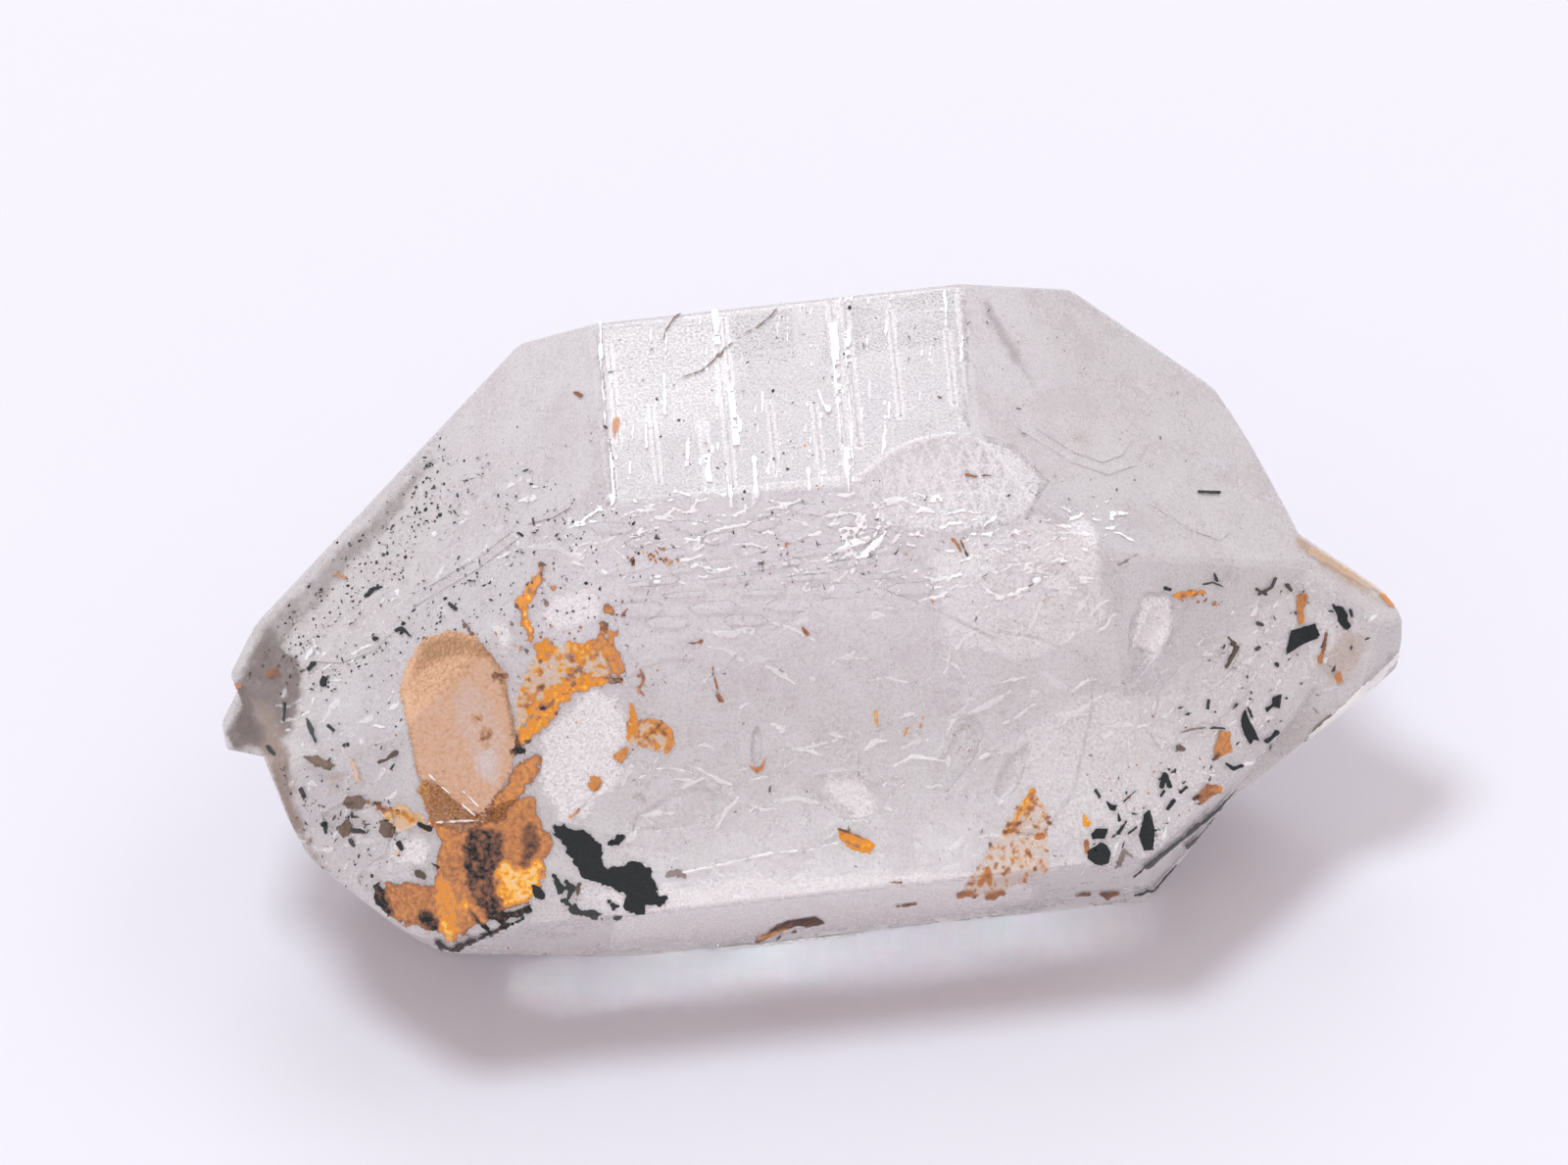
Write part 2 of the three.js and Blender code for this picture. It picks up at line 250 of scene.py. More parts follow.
@dataclass(frozen=True)
class Habit:
    """The flat faces of one crystal, as distances from the growth frame's origin in millimetres.

    Sector 0 is on top, and each next one is 60 degrees further round the axis towards the viewer's side.

    Attributes:
        prism: Distances of the six faces that run along the axis.
        left: Distances of the six faces of the left end.
        right: Distances of the six faces of the right end.
        chips: Broken corners, each the way that its plane faces and its distance.
    """

    prism: tuple[float | None, ...]
    left: tuple[float | None, ...] = ()
    right: tuple[float | None, ...] = ()
    chips: tuple[tuple[float, float, float, float], ...] = ()

    # Angle between an end face of quartz and the prism face beside it, and the least slope of a ray to one.
    END_TILT = math.radians(38.2)
    LEVEL = 1e-9

    def planes(self) -> tuple[Array, Array]:
        """The planes' unit normals, shape (n, 3), and distances, shape (n,)."""
        normals, distances = [], []
        for side, group in ((0, self.prism), (-1, self.left), (1, self.right)):
            radial = math.cos(self.END_TILT) if side else 1.0
            for sector, distance in enumerate(group):
                if distance is None:
                    continue
                turn = math.radians(60 * sector)
                along = side * math.sin(self.END_TILT)
                normals.append((along, -radial * math.sin(turn), radial * math.cos(turn)))
                distances.append(distance)
        for x, y, z, distance in self.chips:
            normals.append((x, y, z))
            distances.append(distance)
        normals = np.array(normals)
        return normals / np.linalg.norm(normals, axis=1, keepdims=True), np.array(distances)

    def crossings(self, starts: Array, direction: Array) -> tuple[Array, Array]:
        """Where parallel rays cross the planes.

        Args:
            starts: Points that the rays pass, shape (n, 3).
            direction: The way that they go, shape (3,).

        Returns:
            Distances from the starts to the planes crossed on the way in, else minus infinity, and to those
            crossed on the way out, else infinity.
        """
        normals, distances = self.planes()
        slope = normals @ direction
        slope = np.where(np.abs(slope) < self.LEVEL, -self.LEVEL, slope)
        reach = (distances[None, :] - starts @ normals.T) / slope[None, :]
        return np.where(slope[None, :] < 0, reach, -np.inf), np.where(slope[None, :] > 0, reach, np.inf)

    def span(self, starts: Array, direction: Array) -> Array:
        """Length of each ray inside the crystal, less than 0 where it misses."""
        entering, leaving = self.crossings(starts, direction)
        return leaving.min(1) - entering.max(1)

    def entry(self, starts: Array, direction: Array) -> tuple[Array, Array]:
        """Where parallel rays enter the crystal.

        A ray enters a body of flat faces at the last of the planes that it crosses from outside, if that
        comes before the first plane that it leaves through.

        Args:
            starts: Points that the rays pass, shape (n, 3).
            direction: The way that they go, shape (3,).

        Returns:
            Distances from the starts, infinite where a ray misses, and the normals of the faces entered.
        """
        entering, leaving = self.crossings(starts, direction)
        near = entering.max(1)
        return np.where(near < leaving.min(1), near, np.inf), self.planes()[0][entering.argmax(1)]


@dataclass(frozen=True)
class CrystalBody:
    """The stem crystal, the knob at its left end and the tip crystal at its right end, grown together.

    Attributes:
        stem: Faces of the main crystal.
        knob: Faces of the small crystal at the left end.
        tip: Faces of the small crystal at the right end.
        ior: Refractive index of quartz.
    """

    stem: Habit = Habit(
        prism=(24.7, 8.7, 0.0, 0.0, 12.56, 24.77),
        left=(23.53, 17.2, 10.32, 9.7, 15.87, 25.56),
        right=(24.98, 15.6, 8.71, 8.9, 14.8, 27.87),
        chips=(
            (0.905, 0.326, 0.274, 26.52),
            (0.94, 0.262, 0.22, 25.82),
            (0.711, -0.539, -0.452, 9.99),
            (-0.963, -0.206, -0.173, 18.97),
            (-0.897, -0.339, -0.285, 16.36),
            (-0.696, -0.55, -0.462, 10.63),
            (-0.541, -0.644, -0.541, 7.68),
            (-0.13, -0.76, -0.637, 1.05),
        ),
    )
    knob: Habit = Habit(
        prism=(None, 7.0, None, None, None, 20.0),
        left=(23.45, None, None, None, 15.0, 25.48),
        chips=(
            (-0.845, 0.41, 0.344, 27.45),
            (-0.998, -0.044, -0.037, 23.4),
            (-0.3, -0.73, -0.613, -2.9),
            (1.0, 0.0, 0.0, -17.0),
        ),
    )
    tip: Habit = Habit(
        prism=(20.0, 2.5, -1.0, 0.0, 11.0, 20.0),
        right=(24.85, 18.4, 9.7, 9.2, 15.2, 24.3),
        chips=(
            (0.525, -0.652, -0.547, 6.14),
            (1.0, -0.01, -0.009, 25.92),
            (0.957, 0.221, 0.186, 28.15),
            (0.72, -0.69, 0.06, 16.25),
            (-1.0, 0.0, 0.0, 0.0),
        ),
    )
    ior: float = 1.544

    def room(self, pixels: Array) -> Array:
        """How far each pixel's ray runs straight on inside the stem, the knob or the tip, in millimetres."""
        starts = VIEW.on_view_plane(pixels)
        habits = (self.stem, self.knob, self.tip)
        return np.max([habit.span(starts, VIEW.forward) for habit in habits], axis=0)

    def beneath(self, pixels: Array, depth: Array) -> Array:
        """Points beneath the crystal's surface that show at given pixels of the photograph.

        Each pixel's ray is followed to the face that it meets, bent there by the law of refraction, and
        followed on until it is the given depth beneath that face.

        Args:
            pixels: Pixel coordinates, shape (n, 2).
            depth: Depth beneath the face, in millimetres, shape (n,).

        Returns:
            Points of the growth frame, in millimetres, shape (n, 3).
        """
        starts = VIEW.on_view_plane(pixels)
        near, normal = self.stem.entry(starts, VIEW.forward)
        for habit in (self.knob, self.tip):
            other, other_normal = habit.entry(starts, VIEW.forward)
            closer = other < near
            near = np.where(closer, other, near)
            normal = np.where(closer[:, None], other_normal, normal)
        known = np.isfinite(near)
        near = np.where(known, near, np.median(near[known]) if known.any() else 0.0)
        surface = starts + near[:, None] * VIEW.forward
        facing = -(normal @ VIEW.forward)
        ratio = 1 / self.ior
        inner = np.sqrt(1 - ratio**2 * (1 - facing**2))
        bent = ratio * VIEW.forward + (ratio * facing - inner)[:, None] * normal
        return surface + bent * (depth / inner)[:, None]


BODY = CrystalBody()


class Graph:
    """A material that is being built: its shader and the nodes that feed it."""

    def __init__(self, name: str) -> None:
        """Makes a material with one shader.

        Args:
            name: The material's name.
        """
        self.material = bpy.data.materials.new(name)
        self.material.use_nodes = True
        self.nodes = self.material.node_tree.nodes
        self.shader = self.nodes["Principled BSDF"]

    def feed(self, node: bpy.types.Node, inputs: dict) -> None:
        """Sets a node's inputs.

        Args:
            node: The node.
            inputs: Values, or outputs of other nodes to link, by the input's name or number.
        """
        for key, value in inputs.items():
            if isinstance(value, Socket):
                self.material.node_tree.links.new(value, node.inputs[key])
            else:
                node.inputs[key].default_value = value

    def node(self, kind: str, inputs: dict | None = None, **settings: object) -> bpy.types.Node:
        """Makes a node.

        Args:
            kind: Its type, without the words that all types start with.
            inputs: Its inputs, as feed takes them.
            settings: Its other settings, by name.

        Returns:
            The node.
        """
        node = self.nodes.new("ShaderNode" + kind)
        for label, value in settings.items():
            setattr(node, label, value)
        self.feed(node, inputs or {})
        return node

    def noise(self, size: float, detail: float, roughness: float = 0.5, stretch: float = 1.0) -> Socket:
        """Makes a noise texture on Object coordinates.

        Args:
            size: Size of its coarsest bumps, in millimetres.
            detail: How many finer copies it adds.
            roughness: How much weight the finer copies have.
            stretch: How much longer the bumps are across the crystal's axis than along it.

        Returns:
            The noise's output.
        """
        place = self.node("TexCoord").outputs["Object"]
        scale = (1.0, 1 / stretch, 1 / stretch)
        mapping = self.node("Mapping", {"Vector": place, "Scale": scale}).outputs["Vector"]
        grain = {"Vector": mapping, "Scale": 1 / (size * METRES), "Detail": detail, "Roughness": roughness}
        return self.node("TexNoise", grain).outputs["Fac"]

    def map_range(
        self,
        value: Socket,
        limits: tuple[float, float],
        results: tuple[float, float],
        interpolation: str = "LINEAR",
    ) -> Socket:
        """Turns the values between two limits into those between two results.

        Args:
            value: The values' output.
            limits: The two limits. Values past them are held there.
            results: What they turn into.
            interpolation: How it goes between them.

        Returns:
            The results' output.
        """
        ends = {"From Min": limits[0], "From Max": limits[1], "To Min": results[0], "To Max": results[1]}
        node = self.node("MapRange", {"Value": value, **ends}, interpolation_type=interpolation)
        return node.outputs["Result"]

    def calculate(self, operation: str, *values: object, clamp: bool = False) -> Socket:
        """Calculates with values or outputs, and holds the result between 0 and 1 if it is clamped."""
        node = self.node("Math", dict(enumerate(values)), operation=operation, use_clamp=clamp)
        return node.outputs["Value"]

    def ramp(self, value: Socket, colours: Iterable[tuple[float, Colour]]) -> Socket:
        """Turns values into colours.

        Args:
            value: The values' output.
            colours: Some values in rising order, and the colours at them.

        Returns:
            The colours' output.
        """
        node = self.node("ValToRGB", {"Fac": value})
        stops = node.color_ramp.elements
        for index, (at, colour) in enumerate(colours):
            stop = stops[index] if index < len(stops) else stops.new(at)
            stop.position, stop.color = at, (*colour, 1.0)
        return node.outputs["Color"]

    def attribute(self, name: str) -> Socket:
        """The output of one of the mesh's attributes."""
        return self.node("Attribute", attribute_name=name).outputs["Fac"]

    def bump(self, height: Socket, reach: float, under: Socket | None = None) -> Socket:
        """Roughens the surface.

        Args:
            height: The output that gives the relief.
            reach: Height of the relief, in millimetres.
            under: Output of the relief that this one lies on, if any.

        Returns:
            The output for the shader's normal.
        """
        inputs = {"Height": height, "Distance": reach * METRES}
        if under is not None:
            inputs["Normal"] = under
        return self.node("Bump", inputs).outputs["Normal"]


@dataclass(frozen=True)
class ClearQuartz:
    """The finish of the crystal: clear, faintly grey and pink, its faces finely etched.

    Attributes:
        roughness: Roughness of a fresh face.
        etched: Roughness where a face is etched.
        clearness: Share of the light that goes through. The rest is scattered by fine haze.
        haze: Darkest and palest colour of the haze.
        cloud: Size of the haze's clouds, in millimetres.
        grit: Size of the grains of etching, in millimetres, and how much darker they get.
        pits: Size and depth of the etch pits, in millimetres.
        swells: Size and height of the faces' slow swells, in millimetres.
        striae: Width and height of the fine lines across the crystal's axis, in millimetres.
        tint: What white light turns to in the depth of the crystal.
        density: How fast it does, for each metre.
    """

    roughness: float = 0.2
    etched: float = 0.42
    clearness: float = 0.6
    haze: tuple[Colour, Colour] = ((0.90, 0.85, 0.87), (1.0, 0.98, 0.985))
    cloud: float = 2.4
    grit: tuple[float, float] = (0.12, 0.26)
    pits: tuple[float, float] = (0.35, 0.016)
    swells: tuple[float, float] = (3.0, 0.05)
    striae: tuple[float, float] = (0.3, 0.016)
    tint: Colour = (0.62, 0.50, 0.50)
    density: float = 2.0

    # Noise at which a cloud is darkest and palest, a face is fresh and etched, and a grain is dark and light.
    HAZE_NOISE = (0.36, 0.62)
    ETCH_NOISE = (0.4, 0.6)
    GRIT_NOISE = (0.36, 0.56)

    # How much longer a stria is than it is wide.
    STRIA_LENGTH = 9.0

    def material(self) -> bpy.types.Material:
        """Builds the material."""
        graph = Graph("clear_quartz")
        clouds = graph.noise(self.cloud, detail=9.0, roughness=0.66)
        haze = graph.ramp(clouds, zip(self.HAZE_NOISE, self.haze))
        size, strength = self.grit
        grains = graph.noise(size, detail=3.0, roughness=0.7)
        grit = graph.map_range(grains, self.GRIT_NOISE, (1 - strength, 1.0))
        colour = graph.node("VectorMath", {0: haze, "Scale": grit}, operation="SCALE").outputs["Vector"]
        normal = None
        reliefs = ((self.swells, 1.0), (self.pits, 1.0), (self.striae, self.STRIA_LENGTH))
        for (size, height), stretch in reliefs:
            normal = graph.bump(graph.noise(size, detail=4.0, stretch=stretch), height, normal)
        surface = {
            "Base Color": colour,
            "Roughness": graph.map_range(clouds, self.ETCH_NOISE, (self.roughness, self.etched)),
            "Transmission Weight": self.clearness,
            "IOR": BODY.ior,
            "Normal": normal,
        }
        graph.feed(graph.shader, surface)
        depth = {"Color": (*self.tint, 1.0), "Density": self.density}
        volume = graph.node("VolumeAbsorption", depth).outputs["Volume"]
        graph.feed(graph.nodes["Material Output"], {"Volume": volume})
        return graph.material


def make_crystal(finish: ClearQuartz) -> bpy.types.Object:
    """Makes the visible crystal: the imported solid, its doubles merged and its rounded hollows shaded smooth.

    Args:
        finish: Its finish.

    Returns:
        The crystal's object.
    """
    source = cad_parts[NODE].data
    count = len(source.vertices)
    points = np.empty(3 * count)
    source.vertices.foreach_get("co", points)
    points = points.reshape(-1, 3)
    corners = np.empty(len(source.loops), int)
    source.loops.foreach_get("vertex_index", corners)
    places = np.round(points, CORNER_DECIMALS)
    _, first, same = np.unique(places, axis=0, return_index=True, return_inverse=True)
    triangles = same.ravel()[corners].reshape(-1, 3)
    lasting = (triangles != np.roll(triangles, 1, axis=1)).all(axis=1)
    crystal = make_piece(
        "crystal",
        points[first] / METRES - GROWTH_ORIGIN,
        triangles[lasting],
        finish.material(),
    )
    crystal.data.set_sharp_from_angle(angle=math.radians(SHARP_EDGE))
    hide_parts(NODE)
    return crystal


# What lies inside the crystal


def nearest_on_stretch(x: Array, y: Array, start: Array, end: Array) -> tuple[Array, Array]:
    """The nearest place to each point on a straight stretch.

    Args:
        x: The points' coordinates across.
        y: Their coordinates down.
        start: Where the stretch starts, shape (2,).
        end: Where it ends, shape (2,).

    Returns:
        How far along the stretch the nearest place is, from 0 to 1, and how far it is from the point.
    """
    dx, dy = end - start
    share = np.clip(((x - start[0]) * dx + (y - start[1]) * dy) / (dx * dx + dy * dy), 0, 1)
    return share, np.hypot(x - start[0] - share * dx, y - start[1] - share * dy)


def square_corners(grid: Array) -> Array:
    """Values at the four corners of each square of a grid, in order round it, shape (4, rows, columns)."""
    return np.stack([grid[:-1, :-1], grid[1:, :-1], grid[1:, 1:], grid[:-1, 1:]])


@dataclass(frozen=True)
class Stroke:
    """A line of some width, as it shows in the photograph.

    Attributes:
        path: Its points, in pixels.
        width: Its full width, in pixels, at each point or all along.
        tone: Its place on the finish's colours, from 0 to 1.
        alpha: How much it hides, from 0 to 1.
    """

    path: Pixels
    width: float | tuple[float, ...]
    tone: float = 0.5
    alpha: float = 1.0

    @property
    def corners(self) -> Array:
        """Points that bound the line, with its width added."""
        points = np.array(self.path, float)
        margin = np.max(self.width) / 2
        return np.concatenate([points - margin, points + margin])

    def cover(self, x: Array, y: Array) -> Array:
        """Half the width less the distance to the nearest stretch of the path, so more than 0 on the line."""
        points = np.array(self.path, float)
        half = np.broadcast_to(np.array(self.width, float) / 2, len(points))
        best = np.full(x.shape, -np.inf)
        for start, end, wide, next_wide in zip(points, points[1:], half, half[1:]):
            share, away = nearest_on_stretch(x, y, start, end)
            best = np.maximum(best, wide + (next_wide - wide) * share - away)
        return best


@dataclass(frozen=True)
class Patch:
    """A filled shape, as it shows in the photograph.

    Attributes:
        outline: Its corners in order, in pixels.
        tone: Its place on the finish's colours, from 0 to 1.
        alpha: How much it hides, from 0 to 1.
    """

    outline: Pixels
    tone: float = 0.5
    alpha: float = 1.0

    @property
    def corners(self) -> Array:
        """Points that bound the shape."""
        return np.array(self.outline, float)

    def cover(self, x: Array, y: Array) -> Array:
        """Distance to the nearest side, more than 0 inside.

        A point is inside where a level line from it crosses an odd number of sides.
        """
        points = np.array(self.outline, float)
        away = np.full(x.shape, np.inf)
        inside = np.zeros(x.shape, bool)
        for start, end in zip(points, np.roll(points, -1, axis=0)):
            away = np.minimum(away, nearest_on_stretch(x, y, start, end)[1])
            dx, dy = end - start
            if dy:
                inside ^= ((start[1] > y) != (end[1] > y)) & (x < start[0] + (y - start[1]) * dx / dy)
        return np.where(inside, away, -away)


Mark = Stroke | Patch


@dataclass(frozen=True)
class Film:
    """A thin, ragged film on or inside the crystal, which shows where its marks are in the photograph.

    Attributes:
        name: The piece's name.
        slot: The record's slot of its finish. It is not used.
        marks: What it is made up of. Later marks lie over earlier ones.
        holes: Clear places in it.
        depth: Depth beneath the crystal's face, in millimetres, less than 0 above it, or 0 for a film that
            follows the face.
        lift: How far a film that follows the face stands off it, in millimetres.
        wave: How far a film inside the crystal rises and sinks, in millimetres.
        wave_size: Size of those waves, in pixels.
        ragged: How far its rim strays, in pixels.
        ragged_size: Size of the rim's bays, in pixels.
        soft: Width over which it fades at its rim, in pixels.
        fades: Whether it also gets more see-through over that width.
        rim: How much darker its tone is at its rim.
        blend: Width over which one mark's tone turns into the next, in pixels.
        thickness: Its thickness, in millimetres.
        cell: Size of its mesh's squares, in pixels.
        seed: Start of its random draws.
    """

    name: str
    slot: Slot
    marks: tuple[Mark, ...]
    holes: tuple[Mark, ...] = ()
    depth: float = 0.0
    lift: float = 0.1
    wave: float = 0.12
    wave_size: float = 40.0
    ragged: float = 2.5
    ragged_size: float = 9.0
    soft: float = 2.0
    fades: bool = False
    rim: float = 0.0
    blend: float = 3.0
    thickness: float = 0.02
    cell: float = 1.5
    seed: int = 1

    # Least depth of crystal behind a film, in millimetres, and how fast the film fades where there is less.
    BACKING = 0.2
    FADE = 9.0

    # How ragged a hole's rim is beside the film's own, and the least slope of cover that a corner moves by.
    HOLE_RAGGED = 0.5
    LEAST_SLOPE = 0.5

    def build(self, material: bpy.types.Material, crystal: bpy.types.Object) -> bpy.types.Object:
        """Makes the film: a closed sheet over the squares that its marks cover.

        Args:
            material: Its material.
            crystal: The crystal that it lies on or in.

        Returns:
            The film's object.
        """
        x, y, cover, tone, alpha = self.paint()
        room = BODY.room(np.stack([x.ravel(), y.ravel()], axis=1)).reshape(x.shape)
        cover = np.minimum(cover, (room - self.depth - self.BACKING) * self.FADE)
        quads, nodes, x, y = self.trim(x, y, cover)
        pixels = np.stack([x[nodes], y[nodes]], axis=1)
        depth = self.depth + self.wave * Noise(self.wave_size, self.seed + 1)(pixels[:, 0], pixels[:, 1])
        cover = np.clip(cover.ravel()[nodes] / self.soft, 0, 1)
        tone = np.clip(tone.ravel()[nodes] - self.rim * (1 - cover), 0, 1)
        alpha = alpha.ravel()[nodes] * (cover if self.fades else 1.0)
        values = {"tone": tone, "alpha": alpha, "cover": cover}
        points = BODY.beneath(pixels, depth if self.depth else np.zeros(len(pixels)))
        film = make_piece(self.name, points, quads, material, values)
        if not self.depth:
            wrap = film.modifiers.new("wrap", "SHRINKWRAP")
            wrap.target = crystal
            wrap.wrap_mode = "ABOVE_SURFACE"
            wrap.offset = self.lift * METRES
        solid = film.modifiers.new("thickness", "SOLIDIFY")
        solid.thickness = self.thickness * METRES
        apply_modifiers(film)
        return film

    def paint(self) -> tuple[Array, Array, Array, Array, Array]:
        """Lays the marks over a grid of pixels, later ones over earlier ones, and cuts the holes.

        Returns:
            Grids of the pixels across and down, the distance inside the rim, the tone and the alpha.
        """
        reach = np.concatenate([mark.corners for mark in self.marks])
        margin = self.ragged + 2 * self.cell
        low, high = reach.min(0) - margin, reach.max(0) + margin
        across, down = (np.arange(low[k], high[k] + self.cell, self.cell) for k in (0, 1))
        x, y = np.meshgrid(across, down)
        rim = self.ragged * Noise(self.ragged_size, self.seed)(x, y)
        cover = np.full(x.shape, -np.inf)
        tone, alpha = np.zeros(x.shape), np.zeros(x.shape)
        for mark in self.marks:
            start = np.floor((mark.corners.min(0) - low - margin) / self.cell).astype(int)
            end = np.ceil((mark.corners.max(0) - low + margin) / self.cell).astype(int)
            window = (slice(max(start[1], 0), end[1]), slice(max(start[0], 0), end[0]))
            here = mark.cover(x[window], y[window]) + rim[window]
            share = np.clip(here / self.blend + 0.5, 0, 1)
            share = np.where(cover[window] > 0, share, 1.0) * (here > -2 * self.cell)
            tone[window] += share * (mark.tone - tone[window])
            alpha[window] += share * (mark.alpha - alpha[window])
            cover[window] = np.maximum(cover[window], here)
        for hole in self.holes:
            cover = np.minimum(cover, -hole.cover(x, y) + self.HOLE_RAGGED * rim)
        return x, y, cover, tone, alpha

    def trim(self, x: Array, y: Array, cover: Array) -> tuple[Array, Array, Array, Array]:
        """Keeps the squares that the film covers and draws their outer corners in to its rim.

        A corner outside the rim moves against the cover's slope by the cover that it lacks.

        Args:
            x: Grid of pixels across.
            y: Grid of pixels down.
            cover: Distance inside the rim at each.

        Returns:
            The squares' corner numbers, the grid numbers of the kept corners, and all corners across
            and down.
        """
        parts = square_corners(cover)
        kept = (parts.max(0) > 0) & (parts.min(0) > -self.cell)
        number = np.arange(x.size).reshape(x.shape)
        squares = np.moveaxis(square_corners(number), 0, -1)[kept]
        slope_y, slope_x = np.gradient(cover, self.cell)
        steep = np.maximum(slope_x**2 + slope_y**2, self.LEAST_SLOPE**2)
        lack = np.clip(-cover, 0, self.cell)
        x, y = x + lack * slope_x / steep, y + lack * slope_y / steep
        nodes, renumbered = np.unique(squares, return_inverse=True)
        return renumbered.reshape(squares.shape), nodes, x.ravel(), y.ravel()


def apply_modifiers(piece: bpy.types.Object) -> None:
    """Turns what a piece's modifiers make into its mesh.

    Args:
        piece: The piece's object.
    """
    graph = bpy.context.evaluated_depsgraph_get()
    made = bpy.data.meshes.new_from_object(
        piece.evaluated_get(graph), preserve_all_data_layers=True, depsgraph=graph
    )
    piece.modifiers.clear()
    piece.data = made


@dataclass(frozen=True)
class Strewn:
    """Many short strokes strewn at random over an area of the photograph.

    Attributes:
        area: The area's corners in order, in pixels.
        count: How many strokes.
        length: Shortest and longest, in pixels.
        width: Narrowest and widest, in pixels.
        slant: How far they rise to the right, in degrees.
        spread: How far that strays, in degrees.
        tone: Lowest and highest tone.
        alpha: Least and most that they hide.
        seed: Start of the random draws.
    """

    area: Pixels
    count: int
    length: tuple[float, float] = (8.0, 30.0)
    width: tuple[float, float] = (1.2, 4.0)
    slant: float = 6.0
    spread: float = 14.0
    tone: tuple[float, float] = (0.7, 1.0)
    alpha: tuple[float, float] = (0.3, 0.8)
    seed: int = 1

    # Spots drawn for each stroke, since some fall outside the area, how far a stroke's middle strays for its
    # length, and how wide its ends are for its width.
    DRAWS = 8
    SAG = 0.12
    END_WIDTH = 0.4

    def strokes(self) -> tuple[Stroke, ...]:
        """The strokes, each a bent line of three points that is widest in the middle."""
        draw = np.random.default_rng(self.seed)
        corners = np.array(self.area, float)
        spots = draw.uniform(corners.min(0), corners.max(0), (self.DRAWS * self.count, 2))
        spots = spots[Patch(self.area).cover(spots[:, 0], spots[:, 1]) > 0][: self.count]
        strokes = []
        for x, y in spots:
            length = self.length[0] * (self.length[1] / self.length[0]) ** draw.random()
            width = self.width[0] * (self.width[1] / self.width[0]) ** draw.random()
            angle = math.radians(draw.normal(self.slant, self.spread))
            along, down = math.cos(angle) * length / 2, -math.sin(angle) * length / 2
            sag = draw.normal(0, self.SAG) * length
            path = ((x - along, y - down), (x, y + sag), (x + along, y + down))
            tone, alpha = draw.uniform(*self.tone), draw.uniform(*self.alpha)
            end = self.END_WIDTH * width
            strokes.append(Stroke(path, (end, width, end), tone, alpha))
        return tuple(strokes)


@dataclass(frozen=True)
class Specks:
    """Many small dark grains beneath a face, thickest along some lines of the photograph.

    Attributes:
        name: The piece's name.
        slot: The record's slot of their finish. It is not used.
        lines: Lines that the grains gather round, whose width is twice their usual distance from it.
        counts: Number of grains round each line.
        size: Smallest and largest radius, in millimetres.
        depth: Smallest and largest depth beneath the face, in millimetres.
        seed: Start of the random draws.
    """

    name: str
    slot: Slot
    lines: tuple[Stroke, ...]
    counts: tuple[int, ...]
    size: tuple[float, float] = (0.03, 0.12)
    depth: tuple[float, float] = (-0.02, 0.04)
    seed: int = 5

    # Corners of the belt round a grain, and how deep the crystal has to be behind it, in millimetres.
    BELT = 6
    BACKING = 1.5

    # How far a grain's tone strays, how much commoner small grains are than large ones, how far a corner is
    # pushed in or out, and how far a grain is squeezed or stretched along an axis.
    TONE_SPREAD = 0.12
    SMALLNESS = 1.6
    UNEVEN = (0.7, 1.15)
    SQUEEZE = (0.5, 1.4)

    def build(self, material: bpy.types.Material) -> bpy.types.Object:
        """Makes the grains as one piece.

        A grain's corners are a belt and two poles, each pushed in or out at random, and the grain is
        squeezed along each axis and turned at random.

        Args:
            material: Their material.

        Returns:
            The piece's object.
        """
        draw = np.random.default_rng(self.seed)
        pixels, tones = self.scatter(draw)
        count = len(pixels)
        centres = BODY.beneath(pixels, draw.uniform(*self.depth, count))
        radius = self.size[0] * (self.size[1] / self.size[0]) ** (draw.random(count) ** self.SMALLNESS)
        turn = np.arange(self.BELT) * 2 * np.pi / self.BELT
        belt = np.stack([np.cos(turn), np.sin(turn), np.zeros(self.BELT)], axis=1)
        shape = np.concatenate([[[0, 0, 1.0]], belt, [[0, 0, -1.0]]])
        grains = shape[None] * draw.uniform(*self.UNEVEN, (count, len(shape), 1))
        grains = grains * draw.uniform(*self.SQUEEZE, (count, 1, 3)) * radius[:, None, None]
        frames, _ = np.linalg.qr(draw.normal(size=(count, 3, 3)))
        frames[np.linalg.det(frames) < 0, :, 0] *= -1
        points = np.einsum("nij,nkj->nki", frames, grains) + centres[:, None, :]
        ring = 1 + np.arange(self.BELT)
        after = 1 + (np.arange(self.BELT) + 1) % self.BELT
        top = np.stack([np.zeros(self.BELT, int), ring, after], axis=1)
        bottom = np.stack([np.full(self.BELT, self.BELT + 1), after, ring], axis=1)
        faces = np.concatenate([top, bottom])[None] + (np.arange(count) * len(shape))[:, None, None]
        whole = np.ones(count * len(shape))
        values = {"tone": np.repeat(tones, len(shape)), "alpha": whole, "cover": whole}
        return make_piece(
            self.name, points.reshape(-1, 3), faces.reshape(-1, 3), material, values, smooth=False
        )

    def scatter(self, draw: np.random.Generator) -> tuple[Array, Array]:
        """Strews the grains round their lines.

        Args:
            draw: The random draws.

        Returns:
            The grains' pixels, shape (n, 2), and tones, shape (n,).
        """
        pixels, tones = [], []
        for line, count in zip(self.lines, self.counts):
            path = np.array(line.path, float)
            steps = np.linalg.norm(np.diff(path, axis=0), axis=1)
            along = draw.uniform(0, steps.sum(), count)
            reach = np.concatenate([[0], np.cumsum(steps)])
            middle = np.stack([np.interp(along, reach, path[:, k]) for k in (0, 1)], axis=1)
            spread = np.broadcast_to(np.array(line.width, float) / 2, len(path))
            pixels.append(middle + draw.normal(0, 1, (count, 2)) * np.interp(along, reach, spread)[:, None])
            tones.append(np.clip(draw.normal(line.tone, self.TONE_SPREAD, count), 0, 1))
        pixels, tones = np.concatenate(pixels), np.concatenate(tones)
        inside = BODY.room(pixels) > self.BACKING
        return pixels[inside], tones[inside]


